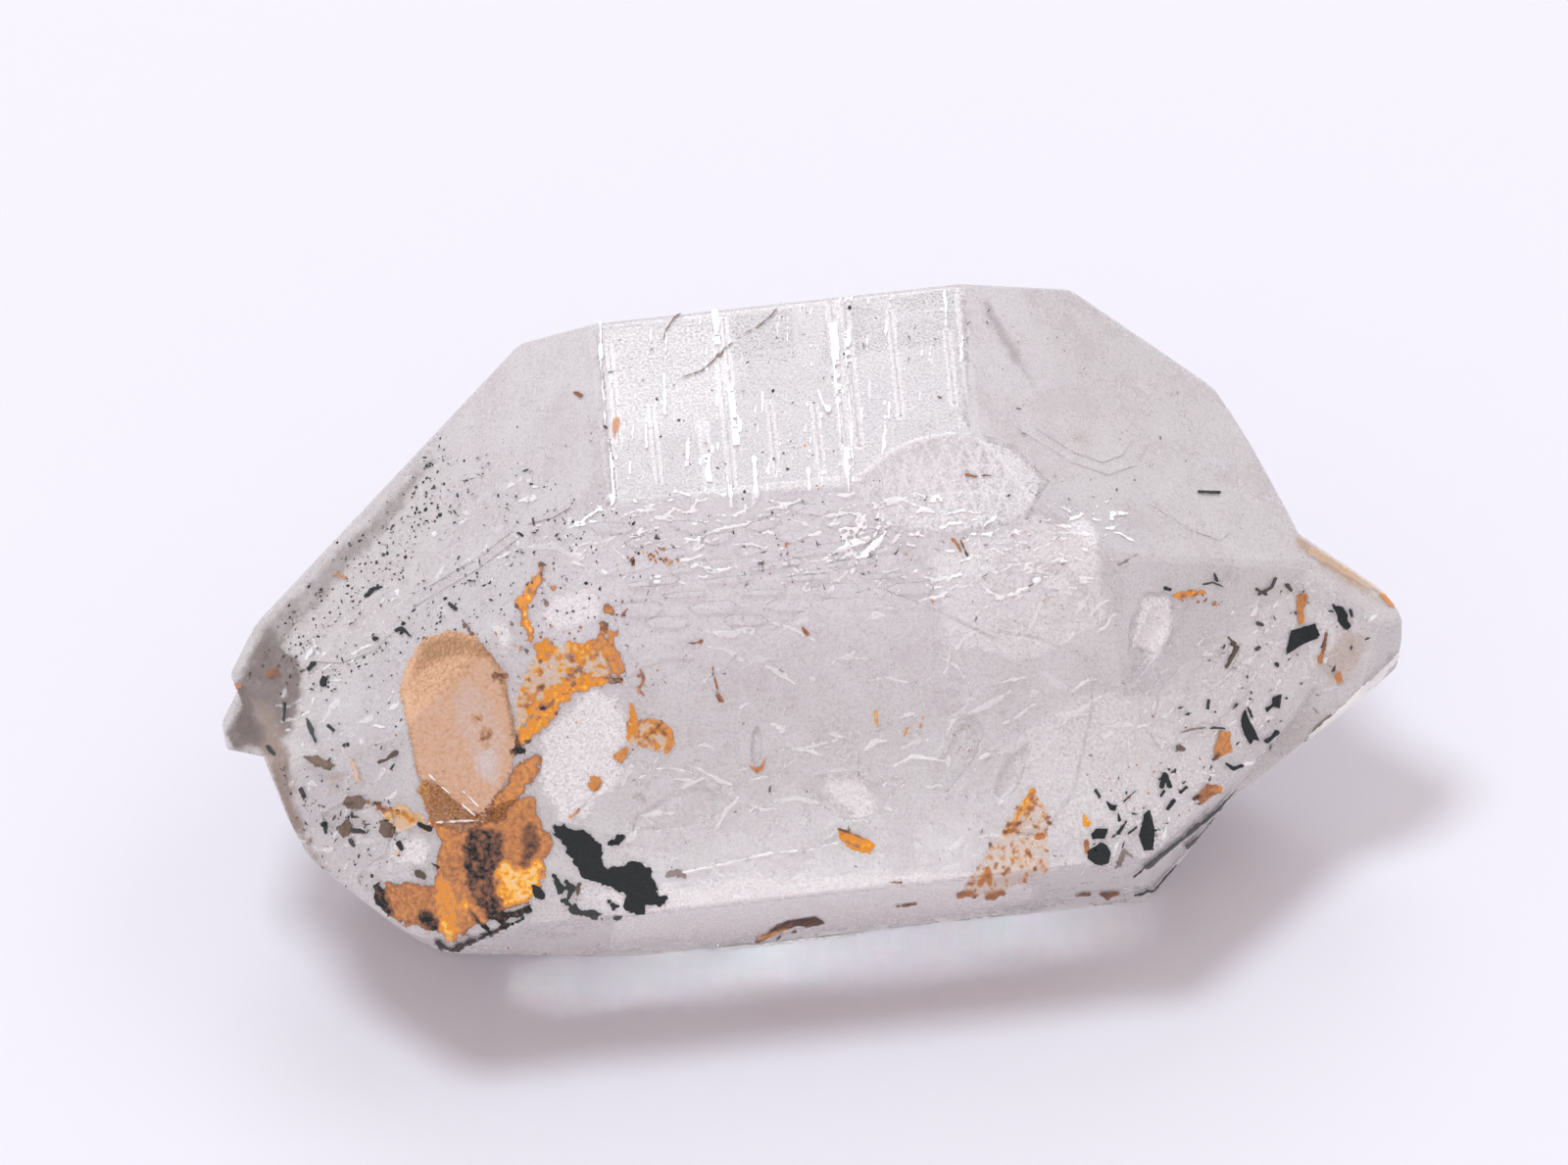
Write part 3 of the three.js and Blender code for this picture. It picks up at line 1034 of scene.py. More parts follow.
@dataclass(frozen=True)
class OxideFinish:
    """A film or a grain of oxide: its colours run along its tone, broken up by a fine grain.

    Attributes:
        name: The material's name.
        colours: Tones and the colours at them.
        grain: Size of the grain, in millimetres.
        grain_strength: How far the grain shifts the tone.
        gaps: How far the grain eats into the film from its rim, as a share of the rim's softness.
        melt: How slowly it turns from a gap into film, the same way.
        roughness: Roughness of its surface.
        bump: Height of its surface grain, in millimetres.
    """

    name: str
    colours: tuple[tuple[float, Colour], ...]
    grain: float = 0.25
    grain_strength: float = 0.3
    gaps: float = 2.0
    melt: float = 0.3
    roughness: float = 0.55
    bump: float = 0.05

    # The cover at which a film without gaps starts to show, and how much of the light its surface mirrors.
    RIM = 0.2
    SHINE = 0.25

    def material(self) -> bpy.types.Material:
        """Builds the material."""
        graph = Graph(self.name)
        grain = graph.noise(self.grain, detail=4.0, roughness=0.62)
        shift = graph.calculate("MULTIPLY_ADD", grain, 2 * self.grain_strength, -self.grain_strength)
        tone = graph.calculate("ADD", shift, graph.attribute("tone"), clamp=True)
        grainy = graph.calculate("MULTIPLY_ADD", grain, self.gaps, graph.attribute("cover"))
        start = self.RIM + self.gaps / 2
        rim = graph.map_range(grainy, (start, start + self.melt), (0.0, 1.0), "SMOOTHSTEP")
        surface = {
            "Base Color": graph.ramp(tone, self.colours),
            "Alpha": graph.calculate("MULTIPLY", rim, graph.attribute("alpha")),
            "Roughness": self.roughness,
            "Specular IOR Level": self.SHINE,
            "Normal": graph.bump(grain, self.bump),
        }
        graph.feed(graph.shader, surface)
        return graph.material


BLACK = (0.012, 0.016, 0.017)
IRON = OxideFinish(
    "iron_film",
    (
        (0.0, BLACK),
        (0.15, (0.15, 0.08, 0.06)),
        (0.32, (0.36, 0.15, 0.07)),
        (0.5, (0.58, 0.25, 0.10)),
        (0.6, (0.74, 0.32, 0.08)),
        (0.7, (0.78, 0.26, 0.008)),
        (0.82, (0.94, 0.56, 0.13)),
        (1.0, (0.80, 0.62, 0.52)),
    ),
    grain=0.2,
    grain_strength=0.4,
)
PEACH = OxideFinish(
    "peach_film",
    (
        (0.0, (0.16, 0.13, 0.10)),
        (0.25, (0.40, 0.21, 0.11)),
        (0.5, (0.68, 0.41, 0.26)),
        (0.8, (0.76, 0.55, 0.45)),
        (1.0, (0.80, 0.68, 0.64)),
    ),
    grain=0.15,
    grain_strength=0.42,
    gaps=2.4,
)
DARK = OxideFinish(
    "black_flake",
    ((0.0, BLACK), (0.45, (0.05, 0.055, 0.055)), (0.7, (0.16, 0.11, 0.08)), (1.0, (0.36, 0.30, 0.28))),
    grain=0.15,
    grain_strength=0.16,
    gaps=0.6,
    roughness=0.45,
)
# Finish of the white frost and of the painted glints.
VEIL_AND_HIGHLIGHTS = OxideFinish(
    "white_veil",
    ((0.0, (0.80, 0.77, 0.80)), (1.0, (1.0, 1.0, 1.0))),
    grain=0.2,
    grain_strength=0.2,
    gaps=3.0,
    roughness=0.5,
    bump=0.02,
)
# Finish of the pale veils and of the painted highlight and painted light patches laid over the faces.
HAZE_AND_LIGHT = OxideFinish(
    "white_haze_and_light",
    ((0.0, (0.82, 0.78, 0.80)), (1.0, (1.0, 0.975, 0.985))),
    grain=0.12,
    grain_strength=0.5,
    gaps=2.4,
    melt=1.3,
    roughness=0.5,
    bump=0.02,
)
# Finish of the dark oxide at the tip and of the painted shade along the silhouette.
OXIDE_AND_SHADE = OxideFinish(
    "oxide_and_shade_film",
    ((0.0, (0.10, 0.08, 0.08)), (0.5, (0.22, 0.17, 0.16)), (1.0, (0.60, 0.42, 0.28))),
    grain=0.5,
    grain_strength=0.2,
    gaps=1.2,
    melt=1.3,
    bump=0.02,
)

TAN_LOBE = Film(
    "tan_lobe",
    Slot.IRON,
    marks=(
        Patch(((458, 642), (434, 650), (424, 663), (413, 683), (408, 705), (413, 731), (417, 753), (424, 788),
               (429, 797), (432, 820), (440, 840), (470, 850), (498, 840), (509, 810), (522, 788), (527, 764),
               (527, 748), (522, 721), (519, 699), (514, 682), (502, 667), (487, 648)), tone=0.58,
               alpha=0.88),
        Patch(((420, 728), (414, 700), (424, 668), (440, 650), (480, 650), (500, 664), (460, 700)), tone=0.44,
               alpha=0.9),
        Patch(((424, 690), (432, 658), (458, 646), (482, 652), (500, 668), (474, 668), (446, 676)), tone=0.24,
               alpha=0.92),
        Stroke(((488, 656), (506, 676), (514, 700), (522, 726), (525, 748)), (6, 5, 5, 5, 4), tone=0.28,
                alpha=0.9),
        Stroke(((412, 700), (416, 745), (426, 790)), (3, 3, 4), tone=0.45, alpha=0.9),
        Patch(((462, 712), (478, 690), (498, 712), (514, 750), (508, 792), (490, 786), (470, 750)), tone=0.78,
               alpha=0.7),
        Patch(((484, 770), (500, 760), (510, 780), (504, 800), (488, 790)), tone=1.0, alpha=0.6),
        *Strewn(((484, 732), (498, 730), (504, 752), (496, 764), (486, 756)), 9, length=(2.0, 7.0),
                 width=(1.6, 3.6), slant=60.0, spread=40.0, tone=(0.0, 0.1), alpha=(0.7, 0.9),
                 seed=19).strokes(),
        Stroke(((430, 806), (455, 816), (486, 836)), (12, 30, 8), tone=0.45, alpha=0.95),
    ),
    ragged=1.8,
    blend=14.0,
    soft=5.0,
    rim=0.2,
    cell=1.2,
    seed=11,
)

RUST_BRANCH = Film(
    "rust_branch",
    Slot.IRON,
    marks=(
        Patch(((546, 662), (580, 654), (614, 652), (626, 690), (600, 697), (568, 708), (546, 730), (526, 752),
               (523, 712), (538, 680)), tone=0.98, alpha=0.3),
        *Strewn(((546, 662), (614, 652), (628, 690), (568, 708), (526, 752), (523, 712)), 90,
                 length=(2.0, 8.0), width=(1.6, 4.4), slant=50.0, spread=60.0, tone=(0.3, 0.78),
                 alpha=(0.5, 1.0), seed=21).strokes(),
        Stroke(((554, 572), (552, 590), (541, 603), (533, 615), (535, 632), (542, 652)),
                (3, 11, 11, 13, 12, 8), tone=0.6, alpha=0.95),
        Stroke(((541, 612), (536, 626), (540, 640)), (4, 5, 4), tone=0.8),
        Stroke(((554, 590), (566, 600)), (6, 4), tone=0.5, alpha=0.8),
        Patch(((543, 652), (565, 650), (570, 662), (556, 676), (546, 672)), tone=0.68, alpha=0.95),
        Patch(((576, 653), (600, 656), (598, 668), (590, 674), (582, 668)), tone=0.76, alpha=0.75),
        Stroke(((614, 636), (614, 650), (622, 663), (628, 676), (632, 692)), (9, 12, 15, 17, 9), tone=0.54,
                alpha=0.98),
        Stroke(((616, 646), (630, 647)), (7, 6), tone=0.62, alpha=0.95),
        Stroke(((604, 640), (616, 641)), (3, 4), tone=0.3, alpha=0.9),
        Stroke(((620, 621), (627, 624)), (10, 8), tone=0.5, alpha=0.95),
        Stroke(((634, 628), (645, 615)), (4, 5), tone=0.5, alpha=0.9),
        Stroke(((632, 692), (608, 695), (584, 700), (567, 711), (554, 727), (541, 745), (530, 757)),
                (8, 12, 18, 24, 25, 20, 12), tone=0.64),
        Stroke(((600, 697), (576, 706), (560, 722), (546, 742), (534, 754)), (4, 8, 9, 8, 6), tone=0.7),
        Stroke(((526, 765), (532, 766)), (14, 10), tone=0.04),
        Stroke(((625, 693), (634, 692)), (6, 8), tone=0.12),
        Stroke(((546, 775), (534, 790), (520, 810), (504, 830)), (16, 24, 22, 20), tone=0.5, alpha=0.98),
        Stroke(((506, 688), (514, 688)), (9, 6), tone=0.4, alpha=0.8),
        Stroke(((474, 634), (482, 646)), (7, 6), tone=0.32, alpha=0.9),
        *Strewn(((534, 570), (600, 590), (660, 600), (664, 700), (600, 720), (520, 770), (500, 660)), 130,
                 length=(2.0, 7.0), width=(1.4, 3.4), slant=60.0, spread=60.0, tone=(0.04, 0.66),
                 seed=4).strokes(),
    ),
    holes=(Stroke(((600, 764), (601, 765)), 94),),
    ragged=5.6,
    ragged_size=6.0,
    soft=4.5,
    rim=0.3,
    cell=1.2,
    seed=23,
)

RUST_ROOT = Film(
    "rust_root",
    Slot.IRON,
    marks=(
        Patch(((448, 860), (500, 850), (556, 876), (554, 906), (530, 926), (504, 940), (470, 950),
               (440, 930)), tone=0.45),
        Patch(((436, 836), (470, 830), (495, 824), (530, 812), (546, 812), (552, 841), (566, 856), (562, 868),
               (552, 880), (530, 892), (519, 884), (492, 884), (470, 876), (452, 866)), tone=0.47,
               alpha=0.95),
        Patch(((427, 796), (444, 796), (488, 836), (440, 838), (431, 818)), tone=0.58, alpha=0.98),
        Patch(((427, 796), (437, 796), (440, 816), (434, 824)), tone=0.8),
        Patch(((385, 911), (396, 900), (428, 900), (444, 903), (452, 890), (457, 866), (470, 860), (474, 905),
               (490, 930), (500, 938), (480, 950), (462, 962), (444, 950), (428, 947), (407, 942),
               (391, 928)), tone=0.42),
        Stroke(((452, 905), (458, 930), (464, 952)), (16, 20, 14), tone=0.6),
        Patch(((496, 872), (514, 878), (525, 887), (534, 886), (550, 876), (554, 898), (547, 912), (530, 921),
               (512, 927), (503, 908), (498, 890)), tone=0.82),
        Stroke(((504, 884), (508, 900), (518, 916)), (10, 10, 8), tone=0.7),
        Patch(((478, 846), (504, 844), (514, 856), (512, 880), (504, 892), (508, 912), (520, 934), (510, 944),
               (496, 938), (484, 918), (474, 896), (472, 868)), tone=0.06),
        *Strewn(((474, 850), (512, 846), (508, 900), (518, 938), (500, 940), (476, 900)), 60,
                 length=(5.0, 18.0), width=(2.0, 5.0), slant=-72.0, spread=12.0, tone=(0.0, 0.26),
                 alpha=(1.0, 1.0), seed=22).strokes(),
        Stroke(((540, 850), (541, 864), (536, 880)), (16, 15, 8), tone=0.2, alpha=0.9),
        Stroke(((455, 945), (458, 962)), (12, 7), tone=0.82),
        Stroke(((474, 922), (484, 934), (494, 944)), (8, 8, 5), tone=0.76),
        Stroke(((384, 906), (392, 920), (399, 929)), (10, 13, 8), tone=0.03),
        Stroke(((433, 934), (442, 944)), (13, 10), tone=0.03),
        Stroke(((446, 960), (460, 968), (474, 962), (512, 946), (534, 937)), (6, 8, 6, 9, 8), tone=0.02),
        Stroke(((480, 928), (490, 942), (500, 950)), (4, 5, 4), tone=0.04),
        Stroke(((503, 935), (526, 932), (540, 928)), (11, 15, 8), tone=0.02),
        Stroke(((392, 838), (408, 826), (428, 834), (436, 846)), (5, 10, 8, 5), tone=0.9, alpha=0.6),
    ),
    ragged=4.6,
    ragged_size=9.0,
    soft=4.0,
    rim=0.2,
    blend=6.0,
    cell=1.2,
    seed=31,
)

BLACK_MASS = Film(
    "black_mass",
    Slot.DARK,
    marks=(
        Patch(((562, 836), (578, 844), (594, 844), (605, 857), (613, 862), (613, 876), (621, 887), (632, 881),
               (645, 879), (664, 884), (667, 898), (672, 913), (683, 916), (672, 923), (661, 924), (658, 932),
               (640, 933), (635, 927), (637, 914), (626, 906), (610, 903), (594, 892), (583, 876), (573, 860),
               (565, 849)), tone=0.1),
        Stroke(((621, 861), (633, 856)), (5, 8), tone=0.1),
        Stroke(((565, 891), (572, 908)), (3, 7), tone=0.3),
        Stroke(((546, 906), (553, 916)), (8, 9), tone=0.15),
        Stroke(((574, 893), (583, 905), (580, 915)), (2, 6, 5), tone=0.35),
        Stroke(((576, 919), (590, 930), (606, 933), (614, 932)), (6, 8, 7, 4), tone=0.4),
        Stroke(((620, 918), (628, 925)), (7, 8), tone=0.2),
        Stroke(((598, 935), (618, 937), (640, 934)), (2, 3, 2), tone=0.5),
        Stroke(((682, 892), (690, 889), (698, 894)), (5, 7, 3), tone=0.95, alpha=0.8),
        Stroke(((588, 917), (592, 902)), (2, 4), tone=0.6),
    ),
    ragged=4.6,
    ragged_size=6.0,
    soft=0.6,
    thickness=0.05,
    cell=1.0,
    lift=0.13,
    seed=41,
)

LEFT_FLAKES = Film(
    "left_flakes",
    Slot.DARK,
    marks=(
        Patch(((311, 772), (325, 771), (343, 781), (337, 785), (318, 780)), tone=0.72),
        Patch(((349, 820), (356, 812), (370, 811), (375, 818), (370, 825), (355, 825)), tone=0.74),
        Patch(((346, 846), (352, 837), (360, 838), (362, 848), (353, 854)), tone=0.7),
        Stroke(((364, 846), (374, 848)), (6, 4), tone=0.45),
        Patch(((390, 836), (397, 833), (402, 842), (406, 850), (395, 854), (389, 848)), tone=0.72),
        Stroke(((331, 840), (334, 849)), (4, 3), tone=0.2),
        Stroke(((427, 840), (438, 845)), (5, 6), tone=0.1),
        Stroke(((408, 860), (411, 866)), (5, 4), tone=0.1),
        Stroke(((427, 890), (433, 894)), (8, 6), tone=0.6),
        Patch(((327, 697), (331, 690), (336, 693), (334, 701), (329, 702)), tone=0.02),
        Stroke(((317, 683), (322, 677)), (4, 5), tone=0.1),
        Stroke(((315, 735), (318, 744), (323, 757)), (3, 5, 3), tone=0.45),
        Stroke(((292, 719), (291, 736)), (3, 2), tone=0.35),
        Stroke(((337, 742), (341, 746)), (5, 4), tone=0.2),
        Stroke(((389, 777), (397, 774), (404, 768)), (3, 3, 5), tone=0.6),
        Stroke(((406, 644), (413, 643), (420, 650)), (4, 4, 3), tone=0.1),
        Stroke(((376, 609), (381, 603), (389, 601)), (6, 5, 4), tone=0.1),
        Stroke(((461, 618), (466, 622)), (4, 5), tone=0.2),
        Stroke(((385, 653), (388, 653)), (5, 4), tone=0.1),
        Stroke(((356, 834), (361, 832)), (3, 5), tone=0.3),
        Stroke(((440, 880), (447, 884)), (2, 3), tone=0.3),
        Stroke(((360, 856), (364, 862)), (5, 3), tone=0.5),
        Stroke(((308, 805), (312, 812)), (4, 3), tone=0.5),
        Stroke(((275, 763), (281, 770)), (5, 4), tone=0.3),
    ),
    ragged=1.5,
    ragged_size=5.0,
    soft=0.6,
    thickness=0.05,
    cell=0.8,
    lift=0.13,
    seed=51,
)

LEFT_STAINS = Film(
    "left_stains",
    Slot.IRON,
    marks=(
        Patch(((357, 770), (364, 776), (371, 800), (362, 797)), tone=0.95, alpha=0.65),
        Stroke(((345, 808), (336, 808), (337, 796), (350, 790)), (4, 5, 5, 3), tone=0.93, alpha=0.5),
        Patch(((388, 822), (410, 824), (431, 832), (426, 842), (408, 850), (398, 840)), tone=0.97,
               alpha=0.55),
        Stroke(((376, 818), (396, 826), (408, 826), (420, 836)), (4, 4, 3, 4), tone=0.3, alpha=0.8),
        Stroke(((400, 876), (406, 868)), (5, 6), tone=0.92, alpha=0.6),
        Stroke(((277, 688), (286, 688)), (13, 10), tone=0.3, alpha=0.4),
        Stroke(((233, 700), (246, 702)), (10, 9), tone=0.5, alpha=0.6),
        Stroke(((344, 588), (352, 590)), (7, 6), tone=0.5, alpha=0.4),
    ),
    ragged=3.0,
    ragged_size=8.0,
    soft=5.0,
    blend=4.0,
    seed=57,
)

RIGHT_FLAKES = Film(
    "right_flakes",
    Slot.DARK,
    marks=(
        Patch(((1316, 643), (1342, 635), (1347, 647), (1344, 651), (1330, 656), (1323, 660), (1310, 669)),
               tone=0.06),
        Patch(((1357, 612), (1363, 618), (1370, 618), (1376, 627), (1375, 633), (1379, 638), (1375, 643),
               (1370, 640), (1365, 633), (1364, 626), (1360, 619)), tone=0.06),
        Stroke(((1378, 622), (1379, 627)), (4, 4), tone=0.2),
        Patch(((1297, 711), (1306, 708), (1304, 723), (1298, 720), (1291, 727), (1290, 722), (1297, 718)),
               tone=0.05),
        Patch(((1269, 722), (1272, 732), (1278, 744), (1284, 756), (1277, 754), (1275, 761), (1269, 751),
               (1265, 740), (1266, 730)), tone=0.05),
        Stroke(((1272, 722), (1276, 731)), (2, 3), tone=0.2),
        Stroke(((1291, 756), (1297, 752), (1301, 747)), (5, 3, 6), tone=0.1),
        Stroke(((1250, 779), (1257, 784), (1266, 781)), (2, 4, 3), tone=0.1),
        Patch(((1171, 826), (1174, 834), (1177, 850), (1175, 867), (1167, 868), (1161, 852), (1165, 843),
               (1166, 831)), tone=0.06),
        Patch(((1128, 816), (1134, 820), (1140, 821), (1138, 827), (1132, 826)), tone=0.06),
        Stroke(((1141, 830), (1142, 836)), (2, 4), tone=0.1),
        Patch(((1113, 850), (1118, 845), (1131, 845), (1127, 855), (1114, 856)), tone=0.06),
        Patch(((1109, 868), (1116, 864), (1122, 859), (1130, 862), (1134, 870), (1131, 879), (1124, 883),
               (1115, 880), (1110, 875)), tone=0.1),
        Stroke(((1141, 849), (1149, 838)), (4, 3), tone=0.2),
        Stroke(((1151, 850), (1159, 844)), (2, 3), tone=0.2),
        Stroke(((1142, 880), (1147, 868), (1155, 873)), (6, 5, 3), tone=0.85, alpha=0.7),
        Stroke(((1184, 802), (1187, 790), (1192, 802)), (5, 5, 5), tone=0.1),
        Stroke(((1183, 813), (1186, 807)), (2, 3), tone=0.2),
        Stroke(((1203, 808), (1209, 803)), (3, 3), tone=0.1),
        Stroke(((1190, 825), (1196, 817)), (3, 4), tone=0.1),
        Stroke(((1118, 806), (1122, 812)), (4, 3), tone=0.35),
        Stroke(((1147, 817), (1160, 805)), (1.6, 1.6), tone=0.4),
        Stroke(((1300, 590), (1296, 599), (1283, 606)), (4, 3, 3), tone=0.55),
        Stroke(((1281, 601), (1290, 606)), (3, 3), tone=0.5),
        Stroke(((1312, 597), (1316, 602)), (5, 3), tone=0.5),
        Stroke(((1283, 636), (1286, 637)), (5, 4), tone=0.5),
        Stroke(((1301, 677), (1302, 679)), (4, 4), tone=0.3),
        Stroke(((1281, 662), (1284, 660)), (4, 4), tone=0.55),
        Stroke(((1252, 650), (1262, 661), (1251, 681)), (2, 4.5, 2.6), tone=0.62),
        Stroke(((1262, 661), (1258, 655)), (3, 2), tone=0.62),
        Stroke(((1231, 714), (1230, 722)), (3, 3), tone=0.4),
        Stroke(((1235, 742), (1248, 743)), (3, 2), tone=0.4),
        Stroke(((1200, 748), (1215, 743), (1228, 742)), (1.6, 3, 1.6), tone=0.85, alpha=0.6),
        Stroke(((1202, 763), (1206, 764)), (7, 4), tone=0.7),
        Stroke(((1226, 596), (1236, 594), (1246, 598)), (2, 2, 2), tone=0.5),
        Stroke(((1238, 585), (1240, 592)), (2, 3), tone=0.4),
        Stroke(((1188, 600), (1192, 601)), (5, 4), tone=0.15),
        Stroke(((1222, 503), (1243, 504)), (2.4, 3), tone=0.25),
        Stroke(((1331, 756), (1345, 741), (1358, 729)), (1.6, 5, 2), tone=0.8, alpha=0.7),
    ),
    ragged=0.8,
    ragged_size=5.0,
    soft=0.6,
    thickness=0.05,
    cell=0.8,
    lift=0.13,
    seed=61,
)

RIGHT_STAINS = Film(
    "right_stains",
    Slot.IRON,
    marks=(
        Patch(((1321, 606), (1335, 604), (1334, 612), (1330, 622), (1330, 636), (1323, 638), (1322, 624)),
               tone=0.5, alpha=0.85),
        Stroke(((1353, 645), (1351, 659), (1347, 674)), (3, 4, 6), tone=0.22, alpha=0.95),
        Stroke(((1349, 668), (1347, 674)), (5, 5), tone=0.5, alpha=0.95),
        Patch(((1361, 688), (1368, 683), (1371, 694), (1365, 698)), tone=0.5, alpha=0.85),
        Patch(((1243, 746), (1254, 746), (1256, 767), (1246, 772), (1237, 776), (1238, 762)), tone=0.5,
               alpha=0.95),
        Stroke(((1236, 775), (1242, 770)), (3, 4), tone=0.1),
        Patch(((1217, 813), (1224, 807), (1231, 799), (1245, 801), (1246, 808), (1233, 815), (1226, 820)),
               tone=0.34, alpha=0.95),
        Stroke(((1238, 806), (1244, 804)), (6, 6), tone=0.58, alpha=0.9),
        Stroke(((1217, 815), (1222, 812)), (4, 4), tone=0.06),
        Stroke(((1198, 608), (1212, 606), (1227, 604)), (6, 7, 5), tone=0.68),
        *Strewn(((1196, 604), (1228, 600), (1248, 610), (1246, 618), (1200, 612)), 26, length=(2.0, 7.0),
                 width=(1.4, 3.0), slant=6.0, spread=40.0, tone=(0.0, 0.7), alpha=(0.8, 1.0),
                 seed=30).strokes(),
        Patch(((1105, 826), (1110, 836), (1116, 840), (1110, 844), (1105, 842)), tone=0.76, alpha=0.9),
        Stroke(((1108, 858), (1109, 868)), (6, 5), tone=0.4, alpha=0.9),
        Patch(((1053, 804), (1060, 815), (1068, 822), (1072, 888), (1040, 902), (1010, 912), (977, 915),
               (996, 886), (1020, 850), (1038, 820)), tone=0.95, alpha=0.12),
        *Strewn(((1050, 806), (1070, 826), (1070, 890), (1000, 914), (980, 912), (1010, 860)), 110,
                 length=(1.6, 6.0), width=(1.2, 2.4), slant=50.0, spread=60.0, tone=(0.0, 0.32),
                 alpha=(0.6, 1.0), seed=18).strokes(),
        Stroke(((1054, 806), (1048, 818), (1036, 836), (1026, 850)), (8, 7, 4, 3), tone=0.74, alpha=0.8),
        *Strewn(((1052, 808), (1062, 818), (1030, 852), (1020, 848)), 26, length=(2.0, 7.0), width=(1.6, 3.2),
                 slant=50.0, spread=30.0, tone=(0.0, 0.4), alpha=(0.8, 1.0), seed=28).strokes(),
        Stroke(((1000, 900), (1008, 890), (1010, 900)), (6, 7, 5), tone=0.45, alpha=0.9),
        Stroke(((978, 913), (990, 910)), (5, 6), tone=0.4, alpha=0.9),
        Stroke(((1008, 914), (1022, 910)), (7, 6), tone=0.38, alpha=0.9),
        Stroke(((1059, 852), (1064, 853)), (7, 5), tone=0.4, alpha=0.9),
        Stroke(((1048, 868), (1052, 874)), (4, 4), tone=0.2, alpha=0.9),
        Stroke(((1410, 606), (1418, 616)), (8, 9), tone=0.62, alpha=0.6),
        Stroke(((1338, 564), (1390, 592), (1412, 604)), (8, 12, 8), tone=0.95, alpha=0.2),
        Stroke(((1098, 912), (1111, 911)), (4, 3), tone=0.24, alpha=0.95),
        Stroke(((1120, 910), (1130, 913), (1140, 910)), (3, 7, 3), tone=0.24, alpha=0.95),
    ),
    ragged=1.8,
    ragged_size=5.0,
    soft=1.2,
    cell=1.0,
    seed=67,
)

CENTRE_STAINS = Film(
    "centre_stains",
    Slot.IRON,
    marks=(
        Patch(((644, 718), (651, 736), (664, 733), (680, 742), (686, 760), (682, 767), (670, 763), (650, 762),
               (640, 758), (638, 740)), tone=0.95, alpha=0.3),
        *Strewn(((644, 718), (664, 733), (686, 748), (684, 768), (650, 764), (638, 742)), 60,
                 length=(2.0, 8.0), width=(1.4, 4.0), slant=30.0, spread=60.0, tone=(0.2, 0.76),
                 alpha=(0.5, 1.0), seed=27).strokes(),
        Stroke(((644, 719), (648, 736), (641, 752)), (5, 6, 5), tone=0.64, alpha=0.9),
        Stroke(((662, 734), (676, 738), (684, 746), (684, 760), (680, 766)), (4, 5, 7, 8, 6), tone=0.54,
                alpha=0.95),
        Stroke(((670, 738), (678, 748)), (4, 5), tone=0.3, alpha=0.9),
        Stroke(((628, 772), (638, 766), (634, 776)), (7, 9, 5), tone=0.55, alpha=0.95),
        Stroke(((604, 794), (611, 796), (608, 804), (601, 800)), (7, 8, 7, 6), tone=0.6, alpha=0.7),
        Stroke(((653, 683), (658, 692), (652, 704), (657, 709)), (3, 4, 4, 3), tone=0.42, alpha=0.6),
        Stroke(((582, 833), (592, 826)), (3, 3), tone=0.6, alpha=0.6),
        *Strewn(((636, 562), (650, 562), (650, 578), (636, 578)), 7, length=(2.0, 5.0), width=(2.0, 4.0),
                 slant=40.0, spread=60.0, tone=(0.04, 0.6), alpha=(0.8, 1.0), seed=24).strokes(),
        *Strewn(((656, 562), (692, 560), (692, 576), (656, 576)), 16, length=(2.0, 7.0), width=(2.0, 4.4),
                 slant=10.0, spread=60.0, tone=(0.04, 0.72), alpha=(0.8, 1.0), seed=25).strokes(),
        *Strewn(((788, 552), (816, 552), (812, 566), (790, 566)), 9, length=(2.0, 6.0), width=(1.4, 2.6),
                 slant=30.0, spread=60.0, tone=(0.04, 0.5), alpha=(0.5, 0.9), seed=26).strokes(),
        Stroke(((973, 550), (980, 562)), (3, 2), tone=0.34),
        Stroke(((979, 551), (986, 566)), (1.6, 2.2), tone=0.16),
        Stroke(((981, 490), (990, 491)), (2.4, 3), tone=0.3),
        Stroke(((990, 491), (1000, 490), (1010, 492)), (1.6, 1.2, 1.0), tone=0.16, alpha=0.8),
        Patch(((855, 844), (876, 851), (894, 861), (888, 872), (868, 866), (856, 856)), tone=0.68),
        Stroke(((856, 845), (870, 850), (880, 855)), (2.4, 2.6, 1.6), tone=0.14),
        Stroke(((864, 858), (876, 864)), (1.4, 1.8), tone=0.26),
        Patch(((762, 778), (770, 782), (776, 781), (781, 773), (779, 785), (771, 789)), tone=0.44),
        Patch(((770, 959), (786, 947), (801, 938), (831, 934), (843, 940), (831, 944), (812, 944), (793, 951),
               (774, 961)), tone=0.12, alpha=0.9),
        *Strewn(((770, 956), (800, 938), (842, 936), (830, 946), (776, 962)), 30, length=(2.0, 8.0),
                 width=(1.2, 3.0), slant=20.0, spread=30.0, tone=(0.0, 0.3), alpha=(0.8, 1.0),
                 seed=29).strokes(),
        Stroke(((774, 956), (788, 951), (802, 947)), (3, 3, 1.6), tone=0.95, alpha=0.8),
        Stroke(((915, 923), (934, 921)), (2, 2.6), tone=0.25, alpha=0.9),
        Stroke(((908, 900), (919, 900)), (2, 2.4), tone=0.25, alpha=0.9),
        Stroke(((700, 655), (708, 656), (716, 654)), (2, 3, 4), tone=0.25),
        Stroke(((893, 726), (895, 740)), (5, 4), tone=0.75, alpha=0.4),
        Stroke(((922, 750), (926, 742)), (3, 3), tone=0.6, alpha=0.5),
        Stroke(((938, 742), (942, 730)), (3, 2), tone=0.6, alpha=0.5),
        Stroke(((726, 674), (729, 690), (733, 706), (737, 714)), (2, 2.6, 2, 3), tone=0.3, alpha=0.8),
        Stroke(((819, 640), (824, 646)), (3, 4), tone=0.3, alpha=0.8),
        Stroke(((629, 430), (627, 446)), (7, 6), tone=0.6, alpha=0.3),
        Stroke(((594, 404), (588, 402)), (5, 4), tone=0.2, alpha=0.9),
    ),
    ragged=1.4,
    ragged_size=5.0,
    soft=1.2,
    cell=1.0,
    seed=71,
)

